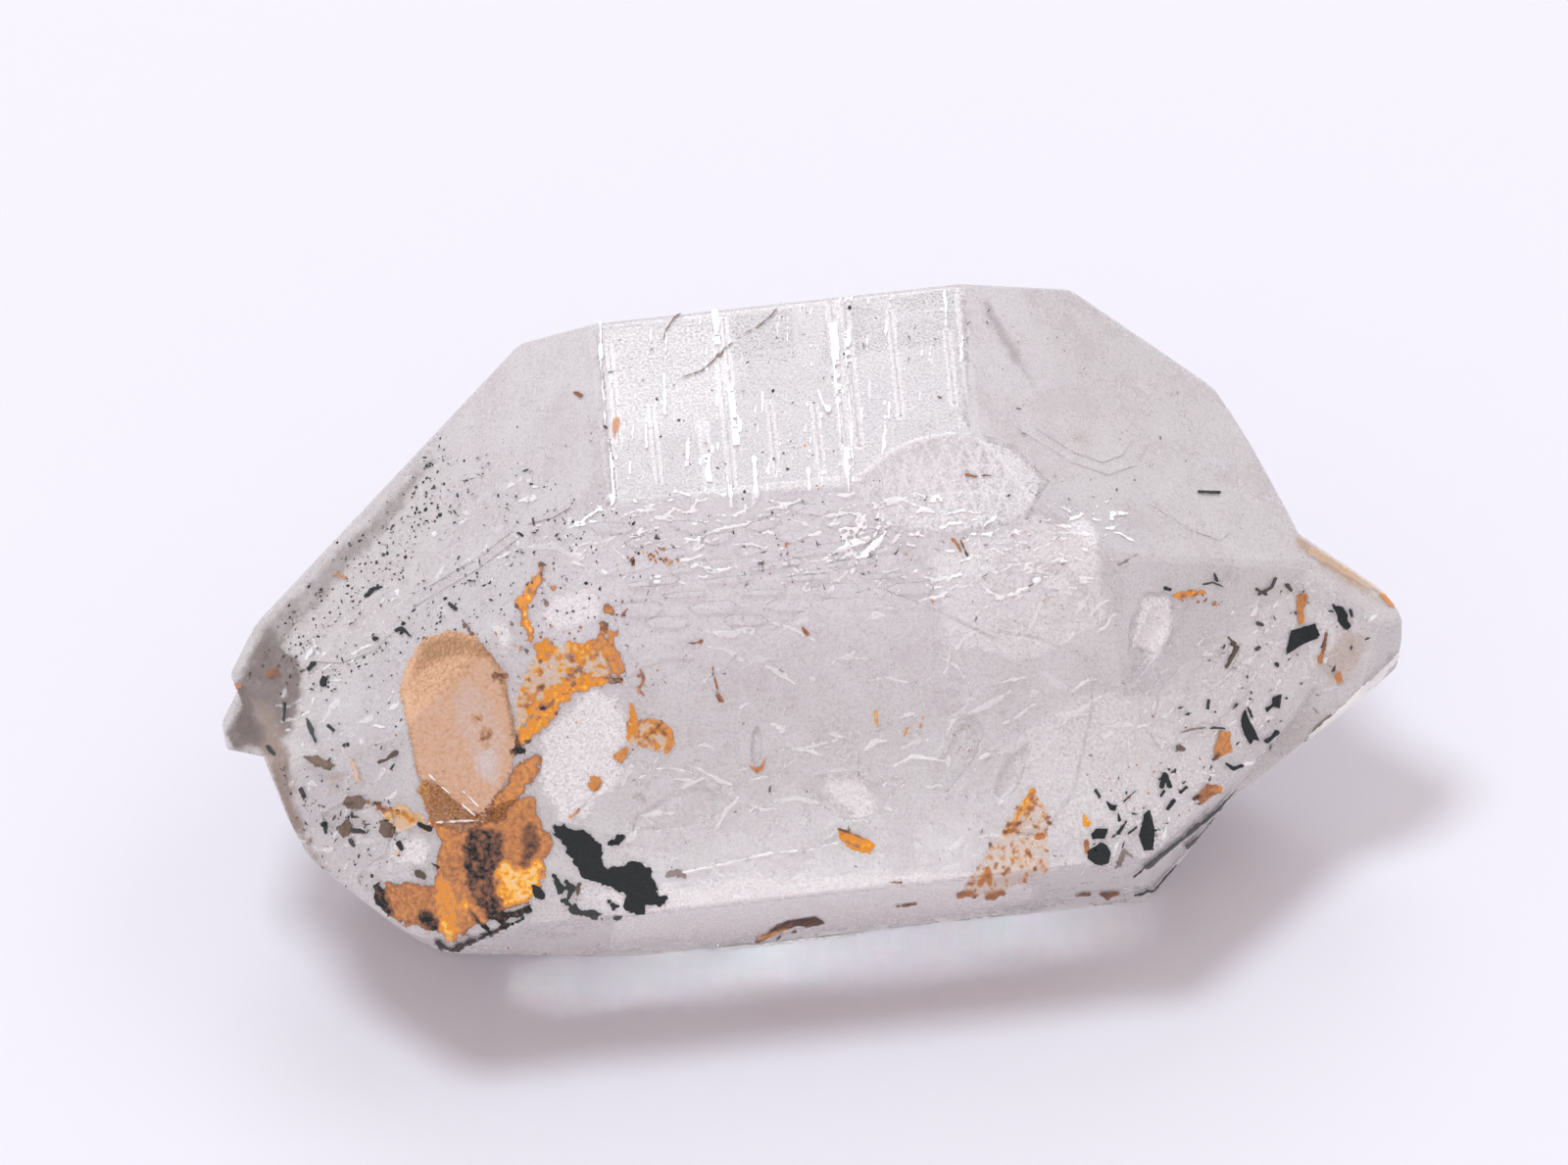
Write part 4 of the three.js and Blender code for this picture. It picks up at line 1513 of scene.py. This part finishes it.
BLURRED_SPOTS = Film(
    "reddish_spots",
    Slot.IRON,
    marks=(
        Stroke(((940, 436), (956, 430)), (20, 18), tone=0.4, alpha=0.32),
        Stroke(((1096, 446), (1112, 450)), (18, 18), tone=0.36, alpha=0.4),
        Stroke(((632, 814), (650, 812), (668, 820)), (10, 14, 8), tone=0.34, alpha=0.4),
    ),
    depth=2.2,
    ragged=4.0,
    ragged_size=9.0,
    soft=9.0,
    seed=79,
)

# Dark lines along the lower right edges.
DARK_LINES = Film(
    "dark_edge_lines",
    Slot.DARK,
    marks=(
        Stroke(((1156, 893), (1182, 872), (1212, 849), (1236, 829), (1262, 803)), (2.4, 4, 3, 4, 1.4),
                tone=0.3),
        Stroke(((1166, 888), (1192, 864), (1222, 838)), (2, 3, 2), tone=0.4),
        Stroke(((1158, 911), (1176, 907), (1188, 893), (1204, 878), (1216, 866)), (2.4, 3.4, 3, 2, 1.4),
                tone=0.3),
        Stroke(((1210, 862), (1226, 850), (1238, 834)), (5, 5, 3), tone=0.5, alpha=0.7),
        Stroke(((1244, 826), (1258, 818), (1272, 810)), (3, 4, 1.4), tone=0.45, alpha=0.8),
        Stroke(((1204, 878), (1222, 862), (1240, 846)), (1.6, 1.6, 1.2), tone=0.5, alpha=0.7),
        Stroke(((1340, 722), (1352, 734)), (1.2, 1.2), tone=0.7, alpha=0.4),
    ),
    ragged=1.2,
    ragged_size=6.0,
    soft=0.8,
    cell=0.8,
    lift=0.13,
    seed=83,
)

CRACKS = Film(
    "cracks",
    Slot.DARK,
    marks=(
        Stroke(((799, 309), (786, 325), (772, 336), (760, 342), (744, 354), (730, 368), (716, 380),
                (704, 384), (694, 388), (684, 399)), (1.4, 1.8, 2.2, 2.2, 2, 2, 1.8, 1.6, 1.2, 1.0),
                tone=0.85, alpha=0.85),
        Stroke(((701, 318), (688, 326), (680, 338), (676, 352)), (1.2, 1.6, 1.6, 1.2), tone=0.85, alpha=0.8),
        Stroke(((1140, 576), (1160, 566)), (1.4, 1.4), tone=0.8, alpha=0.5),
    ),
    ragged=1.2,
    ragged_size=7.0,
    soft=0.8,
    cell=0.8,
    lift=0.13,
    seed=89,
)

# Painted glints: white streaks for the highlights on the top face's striae and on edges, the bright bevel
# along the lower right edge and the bright streaks of light at the crystal's foot.
PAINTED_GLINTS = Film(
    "painted_glints",
    Slot.VEIL_AND_HIGHLIGHTS,
    marks=(
        Stroke(((613, 332), (614, 400), (616, 440)), (3, 3, 2), tone=0.9, alpha=0.55),
        Stroke(((621, 450), (624, 480), (625, 512)), (3, 6, 4), tone=1.0, alpha=0.9),
        Stroke(((659, 430), (660, 458)), (2.6, 3), tone=1.0, alpha=0.8),
        Stroke(((678, 385), (679, 424)), (3, 4), tone=1.0, alpha=0.8),
        Stroke(((680, 340), (680, 360)), (3, 3), tone=0.9, alpha=0.5),
        Stroke(((722, 468), (724, 494)), (4, 3), tone=1.0, alpha=0.8),
        Stroke(((730, 322), (732, 352)), (8, 5), tone=1.0, alpha=0.5),
        Stroke(((744, 395), (748, 430), (752, 455)), (5, 4, 3), tone=1.0, alpha=0.6),
        Stroke(((744, 490), (746, 515)), (5, 4), tone=1.0, alpha=0.7),
        Stroke(((770, 470), (772, 505)), (5, 6), tone=1.0, alpha=0.6),
        Stroke(((851, 334), (853, 370), (857, 410), (860, 455)), (5, 4, 3, 2), tone=1.0, alpha=0.95),
        Stroke(((865, 336), (866, 380), (869, 430), (871, 500)), (2.4, 3, 3, 2), tone=1.0, alpha=0.85),
        Stroke(((835, 400), (840, 414), (845, 420)), (2, 3, 6), tone=1.0, alpha=0.85),
        Stroke(((864, 460), (866, 500)), (3, 3), tone=1.0, alpha=0.6),
        Stroke(((825, 480), (826, 498)), (4, 4), tone=1.0, alpha=0.6),
        Stroke(((697, 889), (722, 884), (748, 878), (790, 868), (826, 866), (854, 859)), (2, 3, 2, 3, 2, 2),
                tone=1.0, alpha=0.85),
        Stroke(((438, 790), (462, 812), (488, 834)), (1.6, 2.4, 1.6), tone=1.0, alpha=0.6),
        Stroke(((446, 782), (470, 804), (492, 826)), (1.4, 2.2, 1.4), tone=1.0, alpha=0.6),
        Stroke(((438, 839), (460, 837), (488, 836)), (1.6, 2, 1.6), tone=1.0, alpha=0.5),
        Stroke(((846, 565), (858, 558), (872, 552), (885, 548)), (4, 5, 8, 7), tone=1.0, alpha=0.95),
        Stroke(((876, 570), (888, 560), (898, 548), (902, 542)), (7, 9, 6, 3), tone=1.0, alpha=0.95),
        Stroke(((912, 780), (930, 770), (950, 772), (962, 776)), (3, 4, 4, 2), tone=1.0, alpha=0.3),
        Stroke(((1424, 668), (1380, 716), (1320, 770), (1262, 822), (1200, 880)), (5, 9, 11, 11, 6),
                tone=0.95, alpha=0.5),
        Stroke(((716, 966), (770, 962), (830, 956), (880, 950)), (2, 4, 3.4, 2), tone=1.0, alpha=0.85),
    ),
    ragged=1.6,
    ragged_size=7.0,
    soft=1.0,
    cell=1.0,
    lift=0.16,
    seed=97,
)

# Painted highlight: white patches that make the top face lighter where the key light falls on it, a painted
# glint on the small bright facets at the right, and a pale veil over the arched lobe.
TOP_HIGHLIGHT_AND_VEIL = Film(
    "top_highlight_and_veil",
    Slot.VEIL_AND_HIGHLIGHTS,
    marks=(
        # Painted highlight over the top face.
        Patch(((611, 330), (800, 304), (986, 288), (990, 440), (900, 500), (760, 508), (620, 516)), tone=1.0,
               alpha=0.42),
        Patch(((611, 332), (740, 316), (750, 400), (720, 440), (622, 450)), tone=1.0, alpha=0.72),
        # Painted glint on the small bright facets.
        Patch(((1164, 606), (1200, 604), (1198, 648), (1184, 670), (1152, 664), (1150, 640)), tone=1.0,
               alpha=0.66),
        Patch(((870, 502), (892, 466), (934, 444), (985, 438), (1034, 452), (1070, 490), (1050, 530),
               (980, 548), (900, 540)), tone=1.0, alpha=0.5),
    ),
    lift=0.02,
    ragged=3.0,
    ragged_size=16.0,
    soft=7.0,
    fades=True,
    blend=34.0,
    cell=2.0,
    seed=103,
)

# Pale frosted windows in the faces, and painted light: pale patches that lighten the middle, the right face
# and the lower front strip where light through the crystal makes them brighter.
PALE_WINDOWS_AND_LIGHT = Film(
    "pale_windows_and_light",
    Slot.VEIL_AND_HIGHLIGHTS,
    marks=(
        # Painted light over the middle of the body.
        Patch(((940, 560), (1060, 520), (1130, 560), (1140, 640), (1060, 680), (960, 670)), tone=1.0,
               alpha=0.26),
        Patch(((1180, 700), (1310, 590), (1400, 640), (1300, 740), (1180, 850), (1060, 860), (1010, 760),
               (1100, 700)), tone=1.0, alpha=0.22),
        # Painted light: the bright band of the lower front strip.
        Patch(((620, 900), (760, 890), (940, 880), (1070, 896), (1060, 926), (880, 952), (720, 970),
               (620, 974)), tone=1.0, alpha=0.55),
        Patch(((1160, 690), (1168, 650), (1176, 612), (1196, 608), (1200, 640), (1190, 680)), tone=1.0,
               alpha=0.3),
        Patch(((1040, 560), (1064, 530), (1110, 520), (1130, 545), (1122, 590), (1090, 606), (1060, 596)),
               tone=1.0, alpha=0.55),
        Patch(((952, 772), (962, 730), (990, 700), (1000, 712), (988, 748), (968, 780)), tone=1.0,
               alpha=0.6),
        Patch(((828, 790), (848, 776), (890, 778), (896, 806), (900, 836), (876, 842), (846, 822)), tone=1.0,
               alpha=0.5),
        Patch(((766, 770), (768, 738), (782, 736), (778, 762)), tone=1.0, alpha=0.6),
        Stroke(((636, 698), (662, 688), (690, 680)), (6, 8, 4), tone=1.0, alpha=0.6),
        Patch(((546, 750), (572, 720), (600, 698), (634, 704), (650, 740), (640, 800), (604, 840), (566, 846),
               (550, 812), (546, 780)), tone=0.9, alpha=0.6),
        Patch(((545, 625), (560, 600), (600, 596), (618, 612), (612, 640), (552, 648)), tone=1.0, alpha=0.6),
        Patch(((497, 640), (512, 620), (528, 640), (530, 670), (512, 676)), tone=1.0, alpha=0.6),
        Patch(((398, 852), (420, 846), (444, 860), (448, 884), (430, 892), (402, 892), (388, 876)), tone=1.0,
               alpha=0.6),
        Patch(((575, 905), (600, 908), (634, 910), (634, 926), (590, 924)), tone=1.0, alpha=0.7),
    ),
    lift=0.03,
    ragged=8.0,
    ragged_size=24.0,
    soft=12.0,
    fades=True,
    blend=24.0,
    cell=2.0,
    seed=101,
)

# Dark oxide at the left tip and a beige tint on the right, with painted shade: a soft dark band along the
# upper left silhouette and a faint dark diagonal on the right end.
TIP_OXIDE_AND_SHADE = Film(
    "tip_oxide_and_shade",
    Slot.DARK,
    marks=(
        # Painted shade along the upper left silhouette.
        Patch(((440, 456), (452, 470), (404, 540), (340, 610), (296, 664), (266, 700), (236, 700), (228, 693),
               (242, 665), (255, 642), (350, 546)), tone=0.45, alpha=0.26),
        Patch(((216, 693), (238, 650), (270, 640), (312, 668), (318, 706), (306, 750), (276, 772), (236, 772),
               (216, 738)), tone=0.45, alpha=0.66),
        Stroke(((262, 740), (286, 776), (296, 830), (330, 890)), (44, 36, 30, 20), tone=0.66, alpha=0.6),
        Stroke(((222, 698), (236, 722), (254, 748)), (30, 34, 26), tone=0.3, alpha=0.95),
        Stroke(((1330, 552), (1380, 584), (1416, 604)), (34, 44, 40), tone=1.0, alpha=0.55),
        Stroke(((1364, 676), (1380, 656)), (56, 40), tone=1.0, alpha=0.22),
        # Painted shade: a faint dark diagonal.
        Stroke(((1006, 310), (1018, 334), (1036, 366), (1056, 400)), (22, 24, 26, 20), tone=0.4, alpha=0.16),
    ),
    lift=0.05,
    ragged=6.0,
    ragged_size=14.0,
    soft=12.0,
    fades=True,
    blend=22.0,
    cell=2.0,
    seed=131,
)

# White frosted streaks in the faces, with painted glints: the bright white cluster in the middle and the
# bright streaks on the top face's striae.
FROST_AND_GLINTS = Film(
    "frost_and_glints",
    Slot.VEIL_AND_HIGHLIGHTS,
    marks=(
        *Strewn(((604, 516), (700, 498), (860, 496), (960, 506), (1060, 520), (1140, 500), (1150, 560),
                 (1080, 620), (900, 604), (760, 600), (640, 620), (560, 566)), 240, length=(8.0, 46.0),
                 width=(1.2, 5.0), slant=9.0, spread=15.0, alpha=(0.5, 1.0), seed=2).strokes(),
        # Painted glints: the bright white cluster.
        *Strewn(((846, 544), (876, 520), (903, 518), (905, 560), (880, 582), (852, 578)), 34,
                 length=(6.0, 24.0), width=(2.0, 6.0), slant=50.0, spread=16.0, alpha=(0.9, 1.0),
                 seed=10).strokes(),
        *Strewn(((560, 560), (1140, 540), (1170, 880), (900, 920), (620, 930), (600, 700)), 150,
                 length=(12.0, 60.0), width=(2.0, 9.0), slant=18.0, spread=30.0, alpha=(0.1, 0.34),
                 seed=3).strokes(),
        *Strewn(((270, 700), (420, 560), (560, 470), (600, 560), (560, 640), (430, 650), (400, 780),
                 (430, 890), (380, 920), (300, 860)), 120, length=(6.0, 30.0), width=(2.0, 7.0), slant=40.0,
                 spread=30.0, alpha=(0.1, 0.4), seed=6).strokes(),
        *Strewn(((1160, 690), (1320, 570), (1420, 640), (1260, 800), (1170, 900)), 80, length=(6.0, 34.0),
                 width=(1.6, 5.0), slant=42.0, spread=22.0, alpha=(0.14, 0.5), seed=8).strokes(),
        # Painted glints along the top face's striae.
        *Strewn(((614, 334), (980, 292), (990, 440), (900, 500), (624, 520)), 120, length=(8.0, 44.0),
                 width=(1.4, 4.0), slant=86.0, spread=3.0, alpha=(0.3, 0.9), seed=9).strokes(),
    ),
    holes=(
        Patch(((400, 640), (520, 590), (540, 560), (660, 600), (700, 760), (640, 780), (632, 690), (540, 770),
               (580, 860), (560, 960), (380, 960), (420, 840))),
    ),
    lift=0.07,
    ragged=2.2,
    ragged_size=6.0,
    soft=1.3,
    cell=1.3,
    seed=137,
)

FLECKS = Film(
    "dark_flecks",
    Slot.DARK,
    marks=(
        *Strewn(((446, 456), (560, 480), (610, 560), (540, 620), (420, 660), (330, 720), (250, 690),
                 (300, 620)), 260, length=(2.0, 7.0), width=(1.2, 2.6), slant=44.0, spread=40.0,
                 tone=(0.05, 0.7), alpha=(0.7, 1.0), seed=12).strokes(),
        *Strewn(((604, 520), (860, 496), (1140, 500), (1150, 560), (1080, 620), (900, 604), (640, 620)), 130,
                 length=(3.0, 13.0), width=(0.9, 2.0), slant=12.0, spread=30.0, tone=(0.4, 0.95),
                 alpha=(0.4, 0.9), seed=13).strokes(),
        *Strewn(((600, 620), (1150, 580), (1190, 880), (900, 910), (620, 920)), 110, length=(2.4, 10.0),
                 width=(0.9, 2.2), slant=50.0, spread=60.0, tone=(0.5, 1.0), alpha=(0.4, 0.9),
                 seed=14).strokes(),
        *Strewn(((614, 334), (980, 292), (1200, 400), (1300, 520), (1180, 560), (990, 480), (624, 520)), 90,
                 length=(2.0, 8.0), width=(0.9, 2.4), slant=60.0, spread=60.0, tone=(0.4, 1.0),
                 alpha=(0.4, 0.9), seed=15).strokes(),
        *Strewn(((1190, 720), (1320, 580), (1420, 640), (1260, 800), (1150, 890), (1090, 860)), 90,
                 length=(2.0, 9.0), width=(1.2, 3.4), slant=55.0, spread=40.0, tone=(0.05, 0.5),
                 alpha=(0.8, 1.0), seed=16).strokes(),
        *Strewn(((280, 780), (400, 760), (430, 880), (380, 920), (310, 870)), 60, length=(2.0, 9.0),
                 width=(1.2, 3.0), slant=40.0, spread=50.0, tone=(0.2, 0.8), alpha=(0.7, 1.0),
                 seed=17).strokes(),
    ),
    ragged=0.7,
    ragged_size=4.0,
    soft=0.8,
    cell=0.9,
    lift=0.13,
    seed=139,
)

FILMS = (
    (TOP_HIGHLIGHT_AND_VEIL, HAZE_AND_LIGHT),
    (PALE_WINDOWS_AND_LIGHT, HAZE_AND_LIGHT),
    (TIP_OXIDE_AND_SHADE, OXIDE_AND_SHADE),
    (FROST_AND_GLINTS, VEIL_AND_HIGHLIGHTS),
    (FLECKS, DARK),
    (TAN_LOBE, PEACH),
    (RUST_ROOT, IRON),
    (RUST_BRANCH, IRON),
    (BLACK_MASS, DARK),
    (LEFT_FLAKES, DARK),
    (LEFT_STAINS, IRON),
    (RIGHT_FLAKES, DARK),
    (RIGHT_STAINS, IRON),
    (CENTRE_STAINS, IRON),
    (BLURRED_SPOTS, IRON),
    (DARK_LINES, DARK),
    (CRACKS, DARK),
    (PAINTED_GLINTS, VEIL_AND_HIGHLIGHTS),
)

LEFT_SPECKS = Specks(
    "left_specks",
    Slot.DARK,
    lines=(
        Stroke(((450, 470), (430, 520), (380, 585), (320, 640), (285, 680)), (30, 40, 50, 60, 50), tone=0.2),
        Stroke(((540, 480), (500, 540), (450, 600), (380, 670), (330, 700)), (50, 70, 90, 90, 60),
                tone=0.25),
        Stroke(((560, 520), (600, 540), (660, 545)), (40, 40, 40), tone=0.3),
        Stroke(((590, 600), (580, 620), (570, 650)), (40, 50, 40), tone=0.2),
        Stroke(((620, 350), (700, 340), (800, 330), (960, 310)), (60, 60, 60, 40), tone=0.45),
        Stroke(((640, 440), (760, 460), (860, 480)), (70, 90, 70), tone=0.45),
        Stroke(((280, 780), (330, 850), (380, 890)), (40, 60, 40), tone=0.4),
    ),
    counts=(420, 460, 80, 60, 80, 110, 100),
    size=(0.03, 0.11),
)
RUST_SPECKS = Specks(
    "rust_specks",
    Slot.IRON,
    lines=(
        Stroke(((540, 640), (600, 690), (640, 720)), (90, 100, 80), tone=0.4),
        Stroke(((450, 700), (470, 780)), (70, 70), tone=0.4),
        Stroke(((1060, 830), (1030, 880), (1000, 905)), (16, 36, 20), tone=0.35),
        Stroke(((1220, 760), (1150, 820)), (60, 60), tone=0.4),
        Stroke(((700, 600), (900, 620), (1100, 650)), (120, 140, 120), tone=0.35),
        Stroke(((700, 800), (900, 800), (1050, 760)), (140, 140, 120), tone=0.35),
        Stroke(((480, 870), (470, 920)), (60, 60), tone=0.3),
    ),
    counts=(170, 90, 70, 50, 90, 60, 90),
    size=(0.03, 0.08),
    seed=7,
)


# The studio


@dataclass(frozen=True)
class SoftLight:
    """A flat light that faces a point near the crystal.

    Attributes:
        name: Its name.
        elevation: Its height above the horizon, in degrees.
        azimuth: How far it is to the right of straight behind, in degrees.
        size: Its width and height, in metres.
        power: Its power, in watts.
        distance: Its distance, in metres.
        aim: The point that it faces, in metres.
        spread: How wide its beam is, in degrees.
        colour: Its colour.
    """

    name: str
    elevation: float
    azimuth: float
    size: tuple[float, float]
    power: float
    distance: float = 2.0
    aim: tuple[float, float, float] = (0.0, 0.0, 0.0)
    spread: float = 180.0
    colour: Colour = (0.80, 0.93, 1.0)

    def hang(self) -> None:
        """Makes the light."""
        data = bpy.data.lights.new(self.name, "AREA")
        data.shape = "ELLIPSE"
        data.size, data.size_y = self.size
        data.spread = math.radians(self.spread)
        data.energy = self.power
        data.color = self.colour
        light = bpy.data.objects.new(self.name, data)
        bpy.context.scene.collection.objects.link(light)
        up, turn = math.radians(self.elevation), math.radians(self.azimuth)
        away = Vector((math.sin(turn) * math.cos(up), math.cos(turn) * math.cos(up), math.sin(up)))
        light.location = Vector(self.aim) + away * self.distance
        light.rotation_mode = "QUATERNION"
        light.rotation_quaternion = away.to_track_quat("Z", "Y")


@dataclass(frozen=True)
class Studio:
    """A pale floor, an even pale room and four lights.

    The key is high above and makes the shadow, weaker ones stand to the right and above the back, and the
    narrow one in front stands for the light that the crystal gathers onto the floor at its foot.

    Attributes:
        floor_size: Width of the floor, in metres.
        floor_colour: Colour of the floor.
        floor_roughness: Roughness of the floor.
        floor_shine: How much of the light the floor mirrors.
        floor_drop: How far the floor lies beneath the part, in metres, so that the two don't meet.
        room: Colour of the room.
        room_strength: Brightness of the room.
        lights: The lights.
    """

    floor_size: float = 8.0
    floor_colour: Colour = (0.668, 0.65, 0.706)
    floor_roughness: float = 0.75
    floor_shine: float = 0.2
    floor_drop: float = 0.00002
    room: Colour = (1.0, 0.88, 0.85)
    room_strength: float = 0.84
    lights: tuple[SoftLight, ...] = (
        SoftLight("key", elevation=79.0, azimuth=-70.0, size=(0.55, 0.55), power=20.8),
        SoftLight("side", elevation=56.0, azimuth=75.0, size=(0.9, 0.9), power=3.6),
        SoftLight("back", elevation=48.0, azimuth=0.0, size=(1.2, 1.2), power=7.4),
        SoftLight("foot", elevation=28.0, azimuth=180.0, size=(0.028, 0.0010), power=0.00013, distance=0.09,
                  aim=(-0.0006, -0.0094, 0.0), spread=1.1),
    )

    def make_floor(self) -> None:
        """Lays the floor."""
        half = self.floor_size / 2
        mesh = bpy.data.meshes.new("floor")
        corners = [(-half, -half, 0), (half, -half, 0), (half, half, 0), (-half, half, 0)]
        mesh.from_pydata(corners, [], [(0, 1, 2, 3)])
        graph = Graph("pale_floor")
        surface = {
            "Base Color": (*self.floor_colour, 1.0),
            "Roughness": self.floor_roughness,
            "Specular IOR Level": self.floor_shine,
        }
        graph.feed(graph.shader, surface)
        mesh.materials.append(graph.material)
        floor = bpy.data.objects.new("floor", mesh)
        bpy.context.scene.collection.objects.link(floor)
        floor.location.z = -self.floor_drop

    def light_room(self) -> None:
        """Lights the room evenly and hangs the lights."""
        world = bpy.data.worlds.new("room")
        world.use_nodes = True
        background = world.node_tree.nodes["Background"]
        background.inputs["Color"].default_value = (*self.room, 1.0)
        background.inputs["Strength"].default_value = self.room_strength
        bpy.context.scene.world = world
        for light in self.lights:
            light.hang()

    def set_render(self) -> None:
        """Sets the view of colours and how far light is followed."""
        scene = bpy.context.scene
        scene.view_settings.view_transform = "Standard"
        scene.cycles.max_bounces = 12
        scene.cycles.transmission_bounces = 12
        scene.cycles.transparent_max_bounces = 12
        scene.cycles.diffuse_bounces = 4
        scene.cycles.glossy_bounces = 8
        scene.cycles.volume_bounces = 0
        scene.cycles.use_denoising = True


def main() -> None:
    """Builds the scene and reports each piece."""
    logging.basicConfig(level=logging.INFO, format="%(message)s")
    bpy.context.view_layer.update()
    VIEW.make_camera()
    studio = Studio()
    studio.make_floor()
    studio.light_room()
    studio.set_render()
    crystal = make_crystal(ClearQuartz())
    materials = {finish: finish.material() for finish in (IRON, PEACH, DARK, VEIL_AND_HIGHLIGHTS, HAZE_AND_LIGHT, OXIDE_AND_SHADE)}
    pieces = [crystal]
    pieces += [film.build(materials[finish], crystal) for film, finish in FILMS]
    pieces += [LEFT_SPECKS.build(materials[DARK]), RUST_SPECKS.build(materials[IRON])]
    for piece in pieces:
        LOG.info("%s: %d faces", piece.name, len(piece.data.polygons))


if __name__ == "__main__":
    main()
